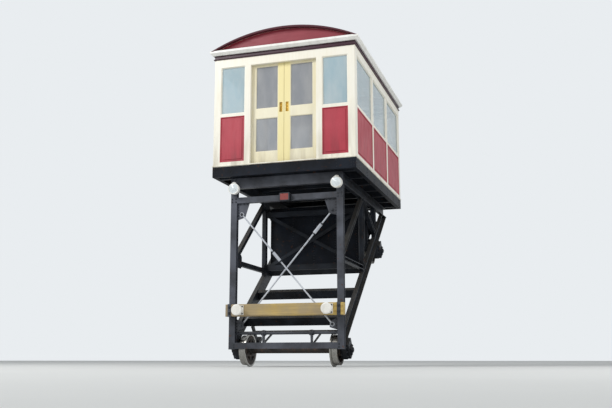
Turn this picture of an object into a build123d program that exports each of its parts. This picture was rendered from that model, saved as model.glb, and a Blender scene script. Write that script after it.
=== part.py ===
from build123d import *

import os
from math import atan, cos, hypot, sin

os.makedirs("parts", exist_ok=True)

# Driving dimensions, in millimetres
# The cabin stands level over wheels that run on a slope
# The origin is in the middle of the four wheel contacts, +Y is uphill
slope_rise = 0.78
cabin_width = 2560
cabin_length = 3860
wall_height = 1960
sill_height = 2330
rail_gauge = 1524
wheel_radius = 250

# Walls: thickness, posts, and rails and panels from the sill up
wall_thickness = 60
corner_post = 130
bottom_rail = 80
panel_height = 810
waist_rail = 50
head_rail = 160

# Underframe, with the solebars and the posts' feet measured square to the rails
steel = 10
channel_width = 75
truss_offset = 183
solebar_low = 420
solebar_depth = 220
top_chord_depth = 180
floor_frame_depth = 180
front_setback = 230
wheel_setback = 450
foot_height = 438
bar_depth = 100

# Clearances
seat_clearance = 0.3
running_clearance = 0.4
door_clearance = 8

# Places worked out from the driving dimensions
slope_angle = atan(slope_rise)
slope_cos = cos(slope_angle)
slope_sin = sin(slope_angle)
half_width = cabin_width / 2
half_length = cabin_length / 2
inner_half_width = half_width - wall_thickness
inner_half_length = half_length - wall_thickness
wall_top = sill_height + wall_height
panel_low = sill_height + bottom_rail
window_low = panel_low + panel_height + waist_rail
window_top = wall_top - head_rail
window_height = window_top - window_low
front_plane = half_length - front_setback
contact_place = front_plane - wheel_setback
axle_along = contact_place / slope_cos
truss_centre = rail_gauge / 2 + truss_offset
truss_inner = truss_centre - channel_width / 2
chord_top = sill_height - floor_frame_depth
chord_low = chord_top - top_chord_depth
chord_middle = chord_top - top_chord_depth / 2
solebar_top = solebar_low + solebar_depth
solebar_middle = solebar_low + solebar_depth / 2


# Height of a point in the side view that stands at a distance square to the rails
def slope_line(y, distance):
    return slope_rise * y + distance / slope_cos


# Place up the slope where a line parallel to the rails reaches a height
def slope_reach(height, distance):
    return (height - distance / slope_cos) / slope_rise


# Side view (y, z) of a place given along the slope and square to it
def slope_point(along, distance):
    return (
        along * slope_cos - distance * slope_sin,
        along * slope_sin + distance * slope_cos,
    )


# Side view plane turned with the slope: local x runs uphill, local y square to the rails
def slope_side(x):
    return Plane(origin=(x, 0, 0), x_dir=(0, slope_cos, slope_sin), z_dir=(1, 0, 0))


# Upright plane that faces outwards at a distance from the middle, local y up
def outward_plane(face_x, face_y, distance):
    return Plane(
        origin=(face_x * distance, face_y * distance, 0),
        x_dir=(-face_y, face_x, 0),
        z_dir=(face_x, face_y, 0),
    )


# The same piece on the other side of the car or at its other end
def mirrored(piece, plane):
    with BuildPart() as twin:
        mirror(piece, about=plane)
    return twin.part


pieces = {}

# Floor frame: a rim of channels round the cabin that open inwards
with BuildPart() as floor_frame:
    with BuildSketch(Plane.XY.offset(chord_top)):
        Rectangle(cabin_width, cabin_length)
        Rectangle(cabin_width - 2 * steel, cabin_length - 2 * steel, mode=Mode.SUBTRACT)
    extrude(amount=floor_frame_depth)
    for flange_low in (chord_top, sill_height - steel):
        with BuildSketch(Plane.XY.offset(flange_low)):
            Rectangle(cabin_width, cabin_length)
            Rectangle(
                cabin_width - 2 * channel_width,
                cabin_length - 2 * channel_width,
                mode=Mode.SUBTRACT,
            )
        extrude(amount=steel)
pieces["floor_frame"] = floor_frame.part

# Cross bearers inside the rim, channels that open uphill, the outer ones over the end posts
bearer_width = 60
bearer_count = 7
bearer_pitch = 2 * front_plane / (bearer_count - 1)
with BuildPart() as floor_bearers:
    with BuildSketch(Plane.YZ):
        with Locations((0, chord_top + floor_frame_depth / 2)):
            with GridLocations(bearer_pitch, 1, bearer_count, 1):
                Rectangle(bearer_width, floor_frame_depth)
                with Locations((steel, 0)):
                    Rectangle(
                        bearer_width,
                        floor_frame_depth - 2 * steel,
                        mode=Mode.SUBTRACT,
                    )
    extrude(amount=half_width - channel_width, both=True)
pieces["floor_bearers"] = floor_bearers.part

# Floor boards inside the walls, notched round the corner posts
floor_thickness = 30
floor_top = sill_height + floor_thickness
with BuildPart() as floor_boards:
    with BuildSketch(Plane.XY.offset(sill_height)):
        Rectangle(2 * inner_half_width, 2 * inner_half_length)
        with GridLocations(cabin_width - corner_post, cabin_length - corner_post, 2, 2):
            Rectangle(corner_post, corner_post, mode=Mode.SUBTRACT)
    extrude(amount=floor_thickness)
pieces["floor_boards"] = floor_boards.part

# Guide strips on the floor, behind the door leaves
door_thickness = 36
door_outer = inner_half_length - door_clearance
door_inner = door_outer - door_thickness
guide_width = 10
guide_height = 22
guide_place = door_inner - door_clearance - guide_width / 2
with BuildPart() as door_guides:
    with BuildSketch(Plane.XY.offset(floor_top)):
        with GridLocations(1, 2 * guide_place, 1, 2):
            Rectangle(cabin_width - 2 * corner_post, guide_width)
    extrude(amount=guide_height)
pieces["door_guides"] = door_guides.part

# End wall: corner posts, two outer bays and a central doorway
doorway_width = 1190
door_post = 105
post_rounding = 18
bay_width = half_width - corner_post - door_post - doorway_width / 2
bay_middle = half_width - corner_post - bay_width / 2
with BuildPart() as lower_end_wall:
    with BuildSketch(outward_plane(0, -1, half_length)):
        with Locations((0, sill_height + wall_height / 2)):
            Rectangle(cabin_width, wall_height)
        with GridLocations(2 * bay_middle, 1, 2, 1):
            with Locations((0, panel_low + panel_height / 2)):
                Rectangle(bay_width, panel_height, mode=Mode.SUBTRACT)
            with Locations((0, window_low + window_height / 2)):
                Rectangle(bay_width, window_height, mode=Mode.SUBTRACT)
        with Locations((0, (sill_height + window_top) / 2)):
            Rectangle(doorway_width, window_top - sill_height, mode=Mode.SUBTRACT)
    extrude(amount=-wall_thickness)
    with BuildSketch(Plane.XY.offset(sill_height)):
        with Locations((0, -half_length + corner_post / 2)):
            with GridLocations(cabin_width - corner_post, 1, 2, 1):
                Rectangle(corner_post, corner_post)
    extrude(amount=wall_height)
    front_edges = lower_end_wall.edges().filter_by(Axis.Z).group_by(Axis.Y)[0]
    outer_edges = front_edges.sort_by(Axis.X)
    fillet([outer_edges[0], outer_edges[-1]], radius=post_rounding)
pieces["lower_end_wall"] = lower_end_wall.part

# Side wall between the corner posts, three bays of window over panel
side_post = 100
side_bays = 3
side_length = cabin_length - 2 * corner_post
side_bay = (side_length - (side_bays - 1) * side_post) / side_bays
side_pitch = side_bay + side_post
with BuildPart() as right_side_wall:
    with BuildSketch(outward_plane(1, 0, half_width)):
        with Locations((0, sill_height + wall_height / 2)):
            Rectangle(side_length, wall_height)
        with GridLocations(side_pitch, 1, side_bays, 1):
            with Locations((0, panel_low + panel_height / 2)):
                Rectangle(side_bay, panel_height, mode=Mode.SUBTRACT)
            with Locations((0, window_low + window_height / 2)):
                Rectangle(side_bay, window_height, mode=Mode.SUBTRACT)
    extrude(amount=-wall_thickness)
pieces["right_side_wall"] = right_side_wall.part

# Bays of the four walls
end_bays = 2
wall_bays = [
    # outward x, outward y, distance of the wall face, bay width, bay pitch, number of bays
    (0, -1, half_length, bay_width, 2 * bay_middle, end_bays),
    (0, 1, half_length, bay_width, 2 * bay_middle, end_bays),
    (1, 0, half_width, side_bay, side_pitch, side_bays),
    (-1, 0, half_width, side_bay, side_pitch, side_bays),
]

# Painted panels in every bay, each with a raised field whose edges slope
panel_setback = 15
panel_thickness = 22
field_margin = 45
field_rise = 8
field_taper = 20
with BuildPart() as wall_panels:
    for face_x, face_y, wall_face, width, pitch, count in wall_bays:
        panel_plane = outward_plane(face_x, face_y, wall_face - panel_setback)
        with BuildSketch(panel_plane):
            with Locations((0, panel_low + panel_height / 2)):
                with GridLocations(pitch, 1, count, 1):
                    Rectangle(width - 2 * seat_clearance, panel_height - 2 * seat_clearance)
        extrude(amount=-panel_thickness)
        with BuildSketch(panel_plane):
            with Locations((0, panel_low + panel_height / 2)):
                with GridLocations(pitch, 1, count, 1):
                    Rectangle(width - 2 * field_margin, panel_height - 2 * field_margin)
        extrude(amount=field_rise, taper=field_taper)
pieces["wall_panels"] = wall_panels.part

# Fixed window panes in every bay
glass_thickness = 6
pane_setback = 25
with BuildPart() as window_panes:
    for face_x, face_y, wall_face, width, pitch, count in wall_bays:
        with BuildSketch(outward_plane(face_x, face_y, wall_face - pane_setback)):
            with Locations((0, window_low + window_height / 2)):
                with GridLocations(pitch, 1, count, 1):
                    Rectangle(width - 2 * seat_clearance, window_height - 2 * seat_clearance)
        extrude(amount=-glass_thickness)
pieces["window_panes"] = window_panes.part

# Frieze band and cornice round the top of the walls
frieze_height = 70
cornice_height = 70
cornice_overhang = 70
cornice_slope = 42
frieze_top = wall_top + frieze_height
cornice_top = frieze_top + cornice_height
with BuildPart() as frieze:
    with BuildSketch(Plane.XY.offset(wall_top)):
        Rectangle(cabin_width, cabin_length)
        Rectangle(2 * inner_half_width, 2 * inner_half_length, mode=Mode.SUBTRACT)
    extrude(amount=frieze_height)
pieces["frieze"] = frieze.part

with BuildPart() as cornice:
    with BuildSketch(Plane.XY.offset(frieze_top)):
        Rectangle(cabin_width + 2 * cornice_overhang, cabin_length + 2 * cornice_overhang)
        Rectangle(2 * inner_half_width, 2 * inner_half_length, mode=Mode.SUBTRACT)
    extrude(amount=cornice_height)
    chamfer(cornice.faces().sort_by(Axis.Z)[0].outer_wire().edges(), length=cornice_slope)
pieces["cornice"] = cornice.part

# Arched roof boards
roof_rise = 320
roof_thickness = 35
roof_overhang = 55
foot_width = 50
roof_reach = half_width + roof_overhang
roof_inner_reach = roof_reach - foot_width
roof_inner_top = cornice_top + roof_rise - roof_thickness
with BuildPart() as roof:
    with BuildSketch(Plane.XZ):
        with BuildLine():
            outer_arc = ThreePointArc(
                (-roof_reach, cornice_top),
                (0, cornice_top + roof_rise),
                (roof_reach, cornice_top),
            )
            inner_arc = ThreePointArc(
                (-roof_inner_reach, cornice_top),
                (0, roof_inner_top),
                (roof_inner_reach, cornice_top),
            )
            Line(outer_arc @ 0, inner_arc @ 0)
            Line(outer_arc @ 1, inner_arc @ 1)
        make_face()
    extrude(amount=half_length + cornice_overhang, both=True)
pieces["roof"] = roof.part

# Hoops under the roof boards, sawn in straight cuts underneath
arch_foot_gap = 2
hoop_depth = 30
hoop_width = 50
hoop_foot = 50
hoop_cuts = 8
hoop_count = 3
hoop_end = 580
hoop_pitch = (cabin_length - 2 * hoop_end) / (hoop_count - 1)
arch_reach = roof_inner_reach - arch_foot_gap
arch_top = roof_inner_top - seat_clearance
with BuildPart() as roof_hoops:
    with BuildSketch(Plane.XZ):
        with BuildLine():
            hoop_outer = ThreePointArc(
                (-arch_reach, cornice_top),
                (0, arch_top),
                (arch_reach, cornice_top),
            )
            hoop_inner = ThreePointArc(
                (-arch_reach + hoop_foot, cornice_top),
                (0, arch_top - hoop_depth),
                (arch_reach - hoop_foot, cornice_top),
                mode=Mode.PRIVATE,
            )
            Polyline(
                hoop_outer @ 0,
                *[hoop_inner @ (cut / hoop_cuts) for cut in range(hoop_cuts + 1)],
                hoop_outer @ 1,
            )
        make_face()
    hoop = extrude(amount=hoop_width / 2, both=True, mode=Mode.PRIVATE)
    with GridLocations(1, hoop_pitch, 1, hoop_count):
        add(hoop)
pieces["roof_hoops"] = roof_hoops.part

# Painted boards that close the arch at each end
arch_board = 30
with BuildPart() as arch_boards:
    with BuildSketch(outward_plane(0, -1, half_length)):
        with BuildLine():
            board_arc = ThreePointArc(
                (-arch_reach, cornice_top),
                (0, arch_top),
                (arch_reach, cornice_top),
            )
            Line(board_arc @ 0, board_arc @ 1)
        make_face()
    extrude(amount=-arch_board)
    mirror(about=Plane.XZ)
pieces["arch_boards"] = arch_boards.part

# Sliding door leaf: two panes one above the other, a finger pull, hung on rollers
meeting_gap = 6
door_overlap = 40
door_head_overlap = 70
meeting_stile = 107
outer_stile = 115
lower_pane_rise = 230
lower_pane_height = 600
middle_rail = 170
upper_pane_drop = 30
pull_rise = 1000
pull_length = 160
pull_width = 40
pull_depth = 12
roller_radius = 15
roller_length = 18
track_gap = 15
track_thickness = 22
track_depth = 30
hanger_inset = 90
hanger_width = 50
hanger_thickness = 8
hanger_gap = 5
door_bottom = floor_top + door_clearance
door_top = window_top + door_head_overlap
leaf_left = meeting_gap / 2
leaf_right = doorway_width / 2 + door_overlap
pane_left = leaf_left + meeting_stile
pane_right = leaf_right - outer_stile
pane_middle = (pane_left + pane_right) / 2
pane_width = pane_right - pane_left
upper_pane_low = sill_height + lower_pane_rise + lower_pane_height + middle_rail
door_panes = [
    # lower edge, height
    (sill_height + lower_pane_rise, lower_pane_height),
    (upper_pane_low, window_top - upper_pane_drop - upper_pane_low),
]
track_low = door_top + track_gap
track_top = track_low + track_depth
roller_axle = track_top + seat_clearance + roller_radius
hanger_top = roller_axle + roller_radius
hanger_places = (leaf_left + hanger_inset, leaf_right - hanger_inset)
hanger_plane = outward_plane(0, -1, inner_half_length - track_thickness - hanger_gap)
with BuildPart() as lower_door_right:
    with BuildSketch(outward_plane(0, -1, door_outer)):
        with Locations(((leaf_left + leaf_right) / 2, (door_bottom + door_top) / 2)):
            Rectangle(leaf_right - leaf_left, door_top - door_bottom)
        for pane_low, pane_height in door_panes:
            with Locations((pane_middle, pane_low + pane_height / 2)):
                Rectangle(pane_width, pane_height, mode=Mode.SUBTRACT)
    extrude(amount=-door_thickness)
    with BuildSketch(outward_plane(0, -1, door_outer)):
        with Locations((leaf_left + meeting_stile / 2, sill_height + pull_rise)):
            Rectangle(pull_width, pull_length)
    extrude(amount=-pull_depth, mode=Mode.SUBTRACT)
    with BuildSketch(hanger_plane):
        for place in hanger_places:
            with Locations((place, (door_top + hanger_top) / 2)):
                Rectangle(hanger_width, hanger_top - door_top)
    extrude(amount=-hanger_thickness)
    with BuildSketch(hanger_plane):
        for place in hanger_places:
            with Locations((place, roller_axle)):
                Circle(roller_radius)
    extrude(amount=roller_length)
pieces["lower_door_right"] = lower_door_right.part

door_glass_face = door_outer - (door_thickness - glass_thickness) / 2
with BuildPart() as lower_door_glass_right:
    with BuildSketch(outward_plane(0, -1, door_glass_face)):
        for pane_low, pane_height in door_panes:
            with Locations((pane_middle, pane_low + pane_height / 2)):
                Rectangle(pane_width - 2 * seat_clearance, pane_height - 2 * seat_clearance)
    extrude(amount=-glass_thickness)
pieces["lower_door_glass_right"] = lower_door_glass_right.part

# Track bars on the inner faces of the head rails, above the doorways
with BuildPart() as door_tracks:
    with BuildSketch(outward_plane(0, -1, inner_half_length)):
        with Locations((0, track_low + track_depth / 2)):
            Rectangle(cabin_width - 2 * corner_post, track_depth)
    extrude(amount=-track_thickness)
    mirror(about=Plane.XZ)
pieces["door_tracks"] = door_tracks.part

# Benches along the side walls: slats laid on supports
bench_depth = 420
bench_end_gap = 220
seat_height = 450
back_thickness = 40
slat_count = 5
slat_gap = 14
slat_thickness = 28
back_slat = 110
back_gap = 30
back_slat_count = 2
back_rise = 110
bench_half_length = inner_half_length - bench_end_gap
bench_front = inner_half_width - bench_depth
back_plane = inner_half_width - back_thickness
slat_width = (back_plane - bench_front - (slat_count - 1) * slat_gap) / slat_count
seat_low = floor_top + seat_height - slat_thickness
back_pitch = back_slat + back_gap
back_low = seat_low + back_rise
back_top = back_low + back_slat_count * back_pitch - back_gap
with BuildPart() as bench_slats:
    with BuildSketch(Plane.XZ):
        with Locations(((bench_front + back_plane) / 2, seat_low + slat_thickness / 2)):
            with GridLocations(slat_width + slat_gap, 1, slat_count, 1):
                Rectangle(slat_width, slat_thickness)
        with Locations((back_plane - slat_thickness / 2, (back_low + back_top) / 2)):
            with GridLocations(1, back_pitch, 1, back_slat_count):
                Rectangle(slat_thickness, back_slat)
    extrude(amount=bench_half_length, both=True)
    mirror(about=Plane.YZ)
pieces["bench_slats"] = bench_slats.part

support_count = 4
support_thickness = 45
seat_overhang = 30
leg_rake = 30
leg_width = 45
back_leg_width = 60
seat_rail_depth = 90
support_pitch = (2 * bench_half_length - support_thickness) / (support_count - 1)
foot_front = bench_front + seat_overhang + leg_rake
with BuildPart() as bench_supports:
    with BuildSketch(Plane.XZ):
        with BuildLine():
            Polyline(
                (foot_front, floor_top),
                (bench_front + seat_overhang, seat_low),
                (back_plane, seat_low),
                (back_plane, back_top),
                (inner_half_width, back_top),
                (inner_half_width, floor_top),
                (inner_half_width - back_leg_width, floor_top),
                (inner_half_width - back_leg_width - leg_rake, seat_low - seat_rail_depth),
                (bench_front + seat_overhang + seat_rail_depth, seat_low - seat_rail_depth),
                (foot_front + leg_width, floor_top),
                close=True,
            )
        make_face()
    support = extrude(amount=support_thickness / 2, both=True, mode=Mode.PRIVATE)
    with GridLocations(1, support_pitch, 1, support_count):
        add(support)
    mirror(about=Plane.YZ)
pieces["bench_supports"] = bench_supports.part

# Front frame: rolled joists as posts, channels across them, gussets for the tie rods
post_width = 110
post_depth = 90
lamp_bar_drop = 570
low_bar_rise = 60
low_bar_thickness = 40
pin_inset = 90
upper_pin_drop = 198
lower_pin_rise = 338
gusset_thickness = 12
gusset_reach = 220
gusset_drop = 110
gusset_lift = 130
pin_margin = 50
post_back = -front_plane + post_depth / 2
post_face = front_plane + post_depth / 2
post_inner = truss_centre - post_width / 2
post_low = slope_line(-front_plane, foot_height)
lamp_bar_place = sill_height - lamp_bar_drop
bar_low = lamp_bar_place - bar_depth / 2
low_bar_place = post_low + low_bar_rise
rod_pin_x = post_inner - pin_inset
upper_pin = bar_low - upper_pin_drop
lower_pin = low_bar_place + lower_pin_rise
with BuildPart() as front_frame:
    with BuildSketch(Plane.XY.offset(post_low)):
        with Locations((0, -front_plane)):
            with GridLocations(2 * truss_centre, 1, 2, 1):
                Rectangle(post_width, post_depth)
                with GridLocations((post_width + steel) / 2, 1, 2, 1):
                    Rectangle(
                        (post_width - steel) / 2,
                        post_depth - 2 * steel,
                        mode=Mode.SUBTRACT,
                    )
    extrude(amount=chord_top - post_low)
    with BuildSketch(Plane.YZ):
        for bar_place, depth in (
            (lamp_bar_place, bar_depth),
            (chord_middle, top_chord_depth),
        ):
            with Locations((-front_plane, bar_place)):
                Rectangle(post_depth, depth)
                with Locations((steel, 0)):
                    Rectangle(post_depth, depth - 2 * steel, mode=Mode.SUBTRACT)
    extrude(amount=truss_centre, both=True)
    with BuildSketch(outward_plane(0, -1, post_face)):
        with Locations((0, low_bar_place)):
            Rectangle(2 * truss_centre, bar_depth)
    extrude(amount=-low_bar_thickness)
    with BuildSketch(outward_plane(0, -1, front_plane + gusset_thickness / 2)):
        with BuildLine():
            Polyline(
                (truss_centre, bar_low),
                (post_inner - gusset_reach, bar_low),
                (rod_pin_x - pin_margin, upper_pin - pin_margin),
                (truss_centre, upper_pin - gusset_drop),
                close=True,
            )
        make_face()
        with BuildLine():
            Polyline(
                (truss_centre, lower_pin + gusset_lift),
                (rod_pin_x - pin_margin, lower_pin + pin_margin),
                (rod_pin_x - pin_margin, lower_pin - pin_margin),
                (truss_centre, lower_pin - gusset_drop),
                close=True,
            )
        make_face()
        mirror(about=Plane.YZ)
    extrude(amount=-gusset_thickness)
pieces["front_frame"] = front_frame.part

# Tie rods that cross in the front frame, each with eight-sided eyes and a turnbuckle
rod_radius = 13
eye_radius = 36
eye_sides = 8
eye_thickness = 32
turnbuckle_sides = 6
turnbuckle_radius = 28
turnbuckle_length = 190
rod_offset = (gusset_thickness + eye_thickness) / 2
tie_rods = [
    # side of the upper end, side of the gussets, turnbuckle place as a share of the rod
    (-1, -1, 0.60),
    (1, 1, 0.84),
]
with BuildPart() as front_tie_rods:
    for upper_side, plane_side, buckle_place in tie_rods:
        rod_y = -front_plane + plane_side * rod_offset
        low_point = Vector(-upper_side * rod_pin_x, rod_y, lower_pin)
        high_point = Vector(upper_side * rod_pin_x, rod_y, upper_pin)
        rod_run = high_point - low_point
        with BuildSketch(Plane(origin=low_point, x_dir=(0, 1, 0), z_dir=rod_run)):
            Circle(rod_radius)
        extrude(amount=rod_run.length)
        buckle_centre = low_point + rod_run * buckle_place
        with BuildSketch(Plane(origin=buckle_centre, x_dir=(0, 1, 0), z_dir=rod_run)):
            RegularPolygon(turnbuckle_radius, turnbuckle_sides)
        extrude(amount=turnbuckle_length / 2, both=True)
        for end_point in (low_point, high_point):
            with BuildSketch(Plane(origin=end_point, x_dir=rod_run, z_dir=(0, -1, 0))):
                RegularPolygon(eye_radius, eye_sides, rotation=180 / eye_sides)
            extrude(amount=eye_thickness / 2, both=True)
pieces["front_tie_rods"] = front_tie_rods.part

# Solebars: channels along the slope that open outwards, with guides for the axle boxes
guide_leg = 30
guide_low = 150
box_half_width = 95
chord_gap = 60
chord_end = half_length - chord_gap
solebar_start_y = post_back - solebar_depth
solebar_end_y = slope_reach(chord_top, solebar_middle)
with BuildPart() as solebars:
    run_y = solebar_end_y - solebar_start_y
    run_z = slope_rise * run_y
    with BuildSketch(
        Plane(
            origin=(truss_inner, solebar_start_y, slope_line(solebar_start_y, solebar_middle)),
            x_dir=(1, 0, 0),
            z_dir=(0, run_y, run_z),
        )
    ):
        with Locations((channel_width / 2, 0)):
            Rectangle(channel_width, solebar_depth)
            with Locations((steel, 0)):
                Rectangle(channel_width, solebar_depth - 2 * steel, mode=Mode.SUBTRACT)
    extrude(amount=hypot(run_y, run_z))
    with BuildSketch(slope_side(truss_inner)):
        for axle_place in (-axle_along, axle_along):
            with Locations((axle_place, (guide_low + solebar_low) / 2)):
                Rectangle(2 * (box_half_width + guide_leg), solebar_low - guide_low)
                Rectangle(2 * box_half_width, solebar_low - guide_low, mode=Mode.SUBTRACT)
    extrude(amount=channel_width)
    split(bisect_by=Plane.XY.offset(chord_low), keep=Keep.BOTTOM)
    split(bisect_by=Plane.XZ.offset(-chord_end), keep=Keep.TOP)
    split(bisect_by=Plane.XZ.offset(-post_back), keep=Keep.BOTTOM)
    mirror(about=Plane.YZ)
pieces["solebars"] = solebars.part

# Side truss: channels that open outwards, joined by gussets on their backs
truss_post_depth = 100
tie_depth = 80
diagonal_depth = 70
middle_post_place = -200
upper_post_place = 800
tie_height = 700
foot_overrun = 60
member_overlap = 40
diagonal_rise = 60
truss_members = [
    # start y, start z, end y, end z, depth
    (
        middle_post_place,
        slope_line(middle_post_place, solebar_top) - foot_overrun,
        middle_post_place,
        chord_low + steel,
        truss_post_depth,
    ),
    (
        upper_post_place,
        slope_line(upper_post_place, solebar_top) - foot_overrun,
        upper_post_place,
        chord_low + steel,
        truss_post_depth,
    ),
    (post_back, tie_height, middle_post_place - member_overlap, tie_height, tie_depth),
    (
        post_back,
        tie_height + diagonal_rise,
        middle_post_place - member_overlap,
        chord_low,
        diagonal_depth,
    ),
    (
        middle_post_place + member_overlap,
        chord_low,
        upper_post_place - member_overlap,
        slope_line(upper_post_place, solebar_top) + diagonal_rise,
        diagonal_depth,
    ),
]
gusset_corner = 40
foot_gusset_width = 220
truss_gussets = [
    # y, z, width, height
    (post_back + foot_gusset_width / 2, tie_height + 30, foot_gusset_width, 240),
    (middle_post_place, chord_low - 40, 320, 200),
    (middle_post_place, tie_height + 20, 240, 220),
    (upper_post_place, chord_low - 60, 260, 160),
]
with BuildPart() as right_truss:
    for start_y, start_z, end_y, end_z, depth in truss_members:
        with BuildSketch(
            Plane(
                origin=(truss_inner, start_y, start_z),
                x_dir=(1, 0, 0),
                z_dir=(0, end_y - start_y, end_z - start_z),
            )
        ):
            with Locations((channel_width / 2, 0)):
                Rectangle(channel_width, depth)
                with Locations((steel, 0)):
                    Rectangle(channel_width, depth - 2 * steel, mode=Mode.SUBTRACT)
        extrude(amount=hypot(end_y - start_y, end_z - start_z))
    with BuildSketch(Plane.YZ.offset(truss_inner)) as gusset_outlines:
        for joint_y, joint_z, width, height in truss_gussets:
            with Locations((joint_y, joint_z)):
                Rectangle(width, height)
        chamfer(gusset_outlines.vertices(), length=gusset_corner)
    extrude(amount=steel)
    split(
        bisect_by=Plane(
            origin=(0, 0, slope_line(0, solebar_top)), z_dir=(0, -slope_sin, slope_cos)
        ),
        keep=Keep.TOP,
    )
    split(bisect_by=Plane.XZ.offset(-post_back), keep=Keep.BOTTOM)
    with BuildSketch(
        Plane(origin=(truss_inner, post_back, chord_middle), x_dir=(1, 0, 0), z_dir=(0, 1, 0))
    ):
        with Locations((channel_width / 2, 0)):
            Rectangle(channel_width, top_chord_depth)
            with Locations((steel, 0)):
                Rectangle(channel_width, top_chord_depth - 2 * steel, mode=Mode.SUBTRACT)
    extrude(amount=chord_end - post_back)
pieces["right_truss"] = right_truss.part

# Middle frame across the trusses, braced with crossed flat bars
brace_width = 60
brace_thickness = 20
middle_bar_width = 60
middle_bar_low = tie_height + 50
with BuildPart() as middle_frame:
    with BuildSketch(Plane.YZ):
        for bar_place in (lamp_bar_place, middle_bar_low):
            with Locations((middle_post_place, bar_place)):
                Rectangle(middle_bar_width, bar_depth)
                with Locations((steel, 0)):
                    Rectangle(middle_bar_width, bar_depth - 2 * steel, mode=Mode.SUBTRACT)
    extrude(amount=truss_inner, both=True)
    brace_run = Vector(2 * truss_inner, 0, lamp_bar_place - middle_bar_low)
    with BuildSketch(
        Plane(
            origin=(-truss_inner, middle_post_place, middle_bar_low),
            x_dir=(0, 1, 0),
            z_dir=brace_run,
        )
    ):
        Rectangle(brace_thickness, brace_width)
    extrude(amount=brace_run.length)
    mirror(about=Plane.YZ)
    split(bisect_by=Plane.YZ.offset(truss_inner), keep=Keep.BOTTOM)
    split(bisect_by=Plane.YZ.offset(-truss_inner), keep=Keep.TOP)
pieces["middle_frame"] = middle_frame.part

# Cross members between the solebars, channels that open uphill
member_depth = 160
member_width = 80
member_top = 620
member_count = 5
member_axle_gap = 435
member_end_gap = 283
member_low = member_top - member_depth
first_member = -axle_along + member_axle_gap
solebar_reach = (chord_low - solebar_top * slope_cos) / slope_sin
last_member = solebar_reach - member_end_gap
member_pitch = (last_member - first_member) / (member_count - 1)
with BuildPart() as cross_members:
    with BuildSketch(slope_side(0)):
        with Locations(((first_member + last_member) / 2, (member_low + member_top) / 2)):
            with GridLocations(member_pitch, 1, member_count, 1):
                Rectangle(member_width, member_depth)
                with Locations((steel, 0)):
                    Rectangle(member_width, member_depth - 2 * steel, mode=Mode.SUBTRACT)
    extrude(amount=truss_inner, both=True)
pieces["cross_members"] = cross_members.part

# Ballast tank: riveted box with ribs, whose bottom lies on the cross members
tank_side_gap = 47
tank_front_gap = 100
tank_back_height = 100
tank_top_gap = 70
tank_lip = 17
rib_width = 50
rib_rise = 20
rib_start = 250
rib_pitch = 350
rib_count = 3
tank_half_width = truss_inner - tank_side_gap
tank_front = middle_post_place + tank_front_gap
tank_top = chord_low - tank_top_gap
tank_back = slope_reach(tank_top - tank_back_height, member_top)
with BuildPart() as ballast_tank:
    with BuildSketch(Plane.YZ):
        with BuildLine():
            Polyline(
                (tank_front, slope_line(tank_front, member_top)),
                (tank_back, slope_line(tank_back, member_top)),
                (tank_back, tank_top),
                (tank_front, tank_top),
                close=True,
            )
        make_face()
    extrude(amount=tank_half_width, both=True)
    with BuildSketch(Plane.XY.offset(tank_top - steel)):
        with Locations((0, (tank_front + tank_back) / 2)):
            Rectangle(
                2 * (tank_half_width + tank_lip),
                tank_back - tank_front + 2 * tank_lip,
            )
    extrude(amount=steel)
    with BuildSketch(Plane.YZ):
        for rib in range(rib_count):
            rib_place = tank_front + rib_start + rib * rib_pitch
            rib_low = slope_line(rib_place + rib_width / 2, member_top)
            with Locations((rib_place, (rib_low + tank_top) / 2)):
                Rectangle(rib_width, tank_top - rib_low)
    extrude(amount=tank_half_width + rib_rise, both=True)
pieces["ballast_tank"] = ballast_tank.part

# Timber buffer beam across the posts
beam_end = 75
beam_depth = 200
beam_thickness = 120
beam_rise = 580
beam_chamfer = 12
beam_place = low_bar_place + beam_rise
beam_front = post_face + beam_thickness
with BuildPart() as buffer_beam:
    with BuildSketch(outward_plane(0, -1, post_face)):
        with Locations((0, beam_place)):
            Rectangle(2 * (truss_centre + beam_end), beam_depth)
    extrude(amount=beam_thickness)
    chamfer(buffer_beam.faces().sort_by(Axis.Y)[0].edges(), length=beam_chamfer)
pieces["buffer_beam"] = buffer_beam.part

# Buffers: square base plates, stems and heads turned about their axis
buffer_inset = 175
buffer_reach = 130
buffer_head = 92
buffer_flat = 76
buffer_stem = 46
buffer_plate = 160
buffer_plate_thickness = 14
buffer_head_thickness = 34
buffer_head_round = 8
buffer_spread = 2 * (truss_centre - buffer_inset)
head_back = buffer_reach - buffer_head_thickness
with BuildPart() as buffers:
    with BuildSketch(outward_plane(0, -1, beam_front)):
        with Locations((0, beam_place)):
            with GridLocations(buffer_spread, 1, 2, 1):
                Rectangle(buffer_plate, buffer_plate)
    extrude(amount=buffer_plate_thickness)
    with BuildSketch(Plane.XY):
        with BuildLine():
            Polyline(
                (0, 0),
                (buffer_stem, 0),
                (buffer_stem, head_back),
                (buffer_head, head_back),
                (buffer_head, buffer_reach - buffer_head_round),
                (buffer_flat, buffer_reach),
                (0, buffer_reach),
                close=True,
            )
        make_face()
    turned_buffer = revolve(axis=Axis.Y, mode=Mode.PRIVATE)
    for side in (-1, 1):
        buffer_seat = Plane(
            origin=(side * buffer_spread / 2, -beam_front, beam_place),
            x_dir=(1, 0, 0),
            z_dir=(0, 0, -1),
        )
        with Locations(buffer_seat):
            add(turned_buffer)
pieces["buffers"] = buffers.part

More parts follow.
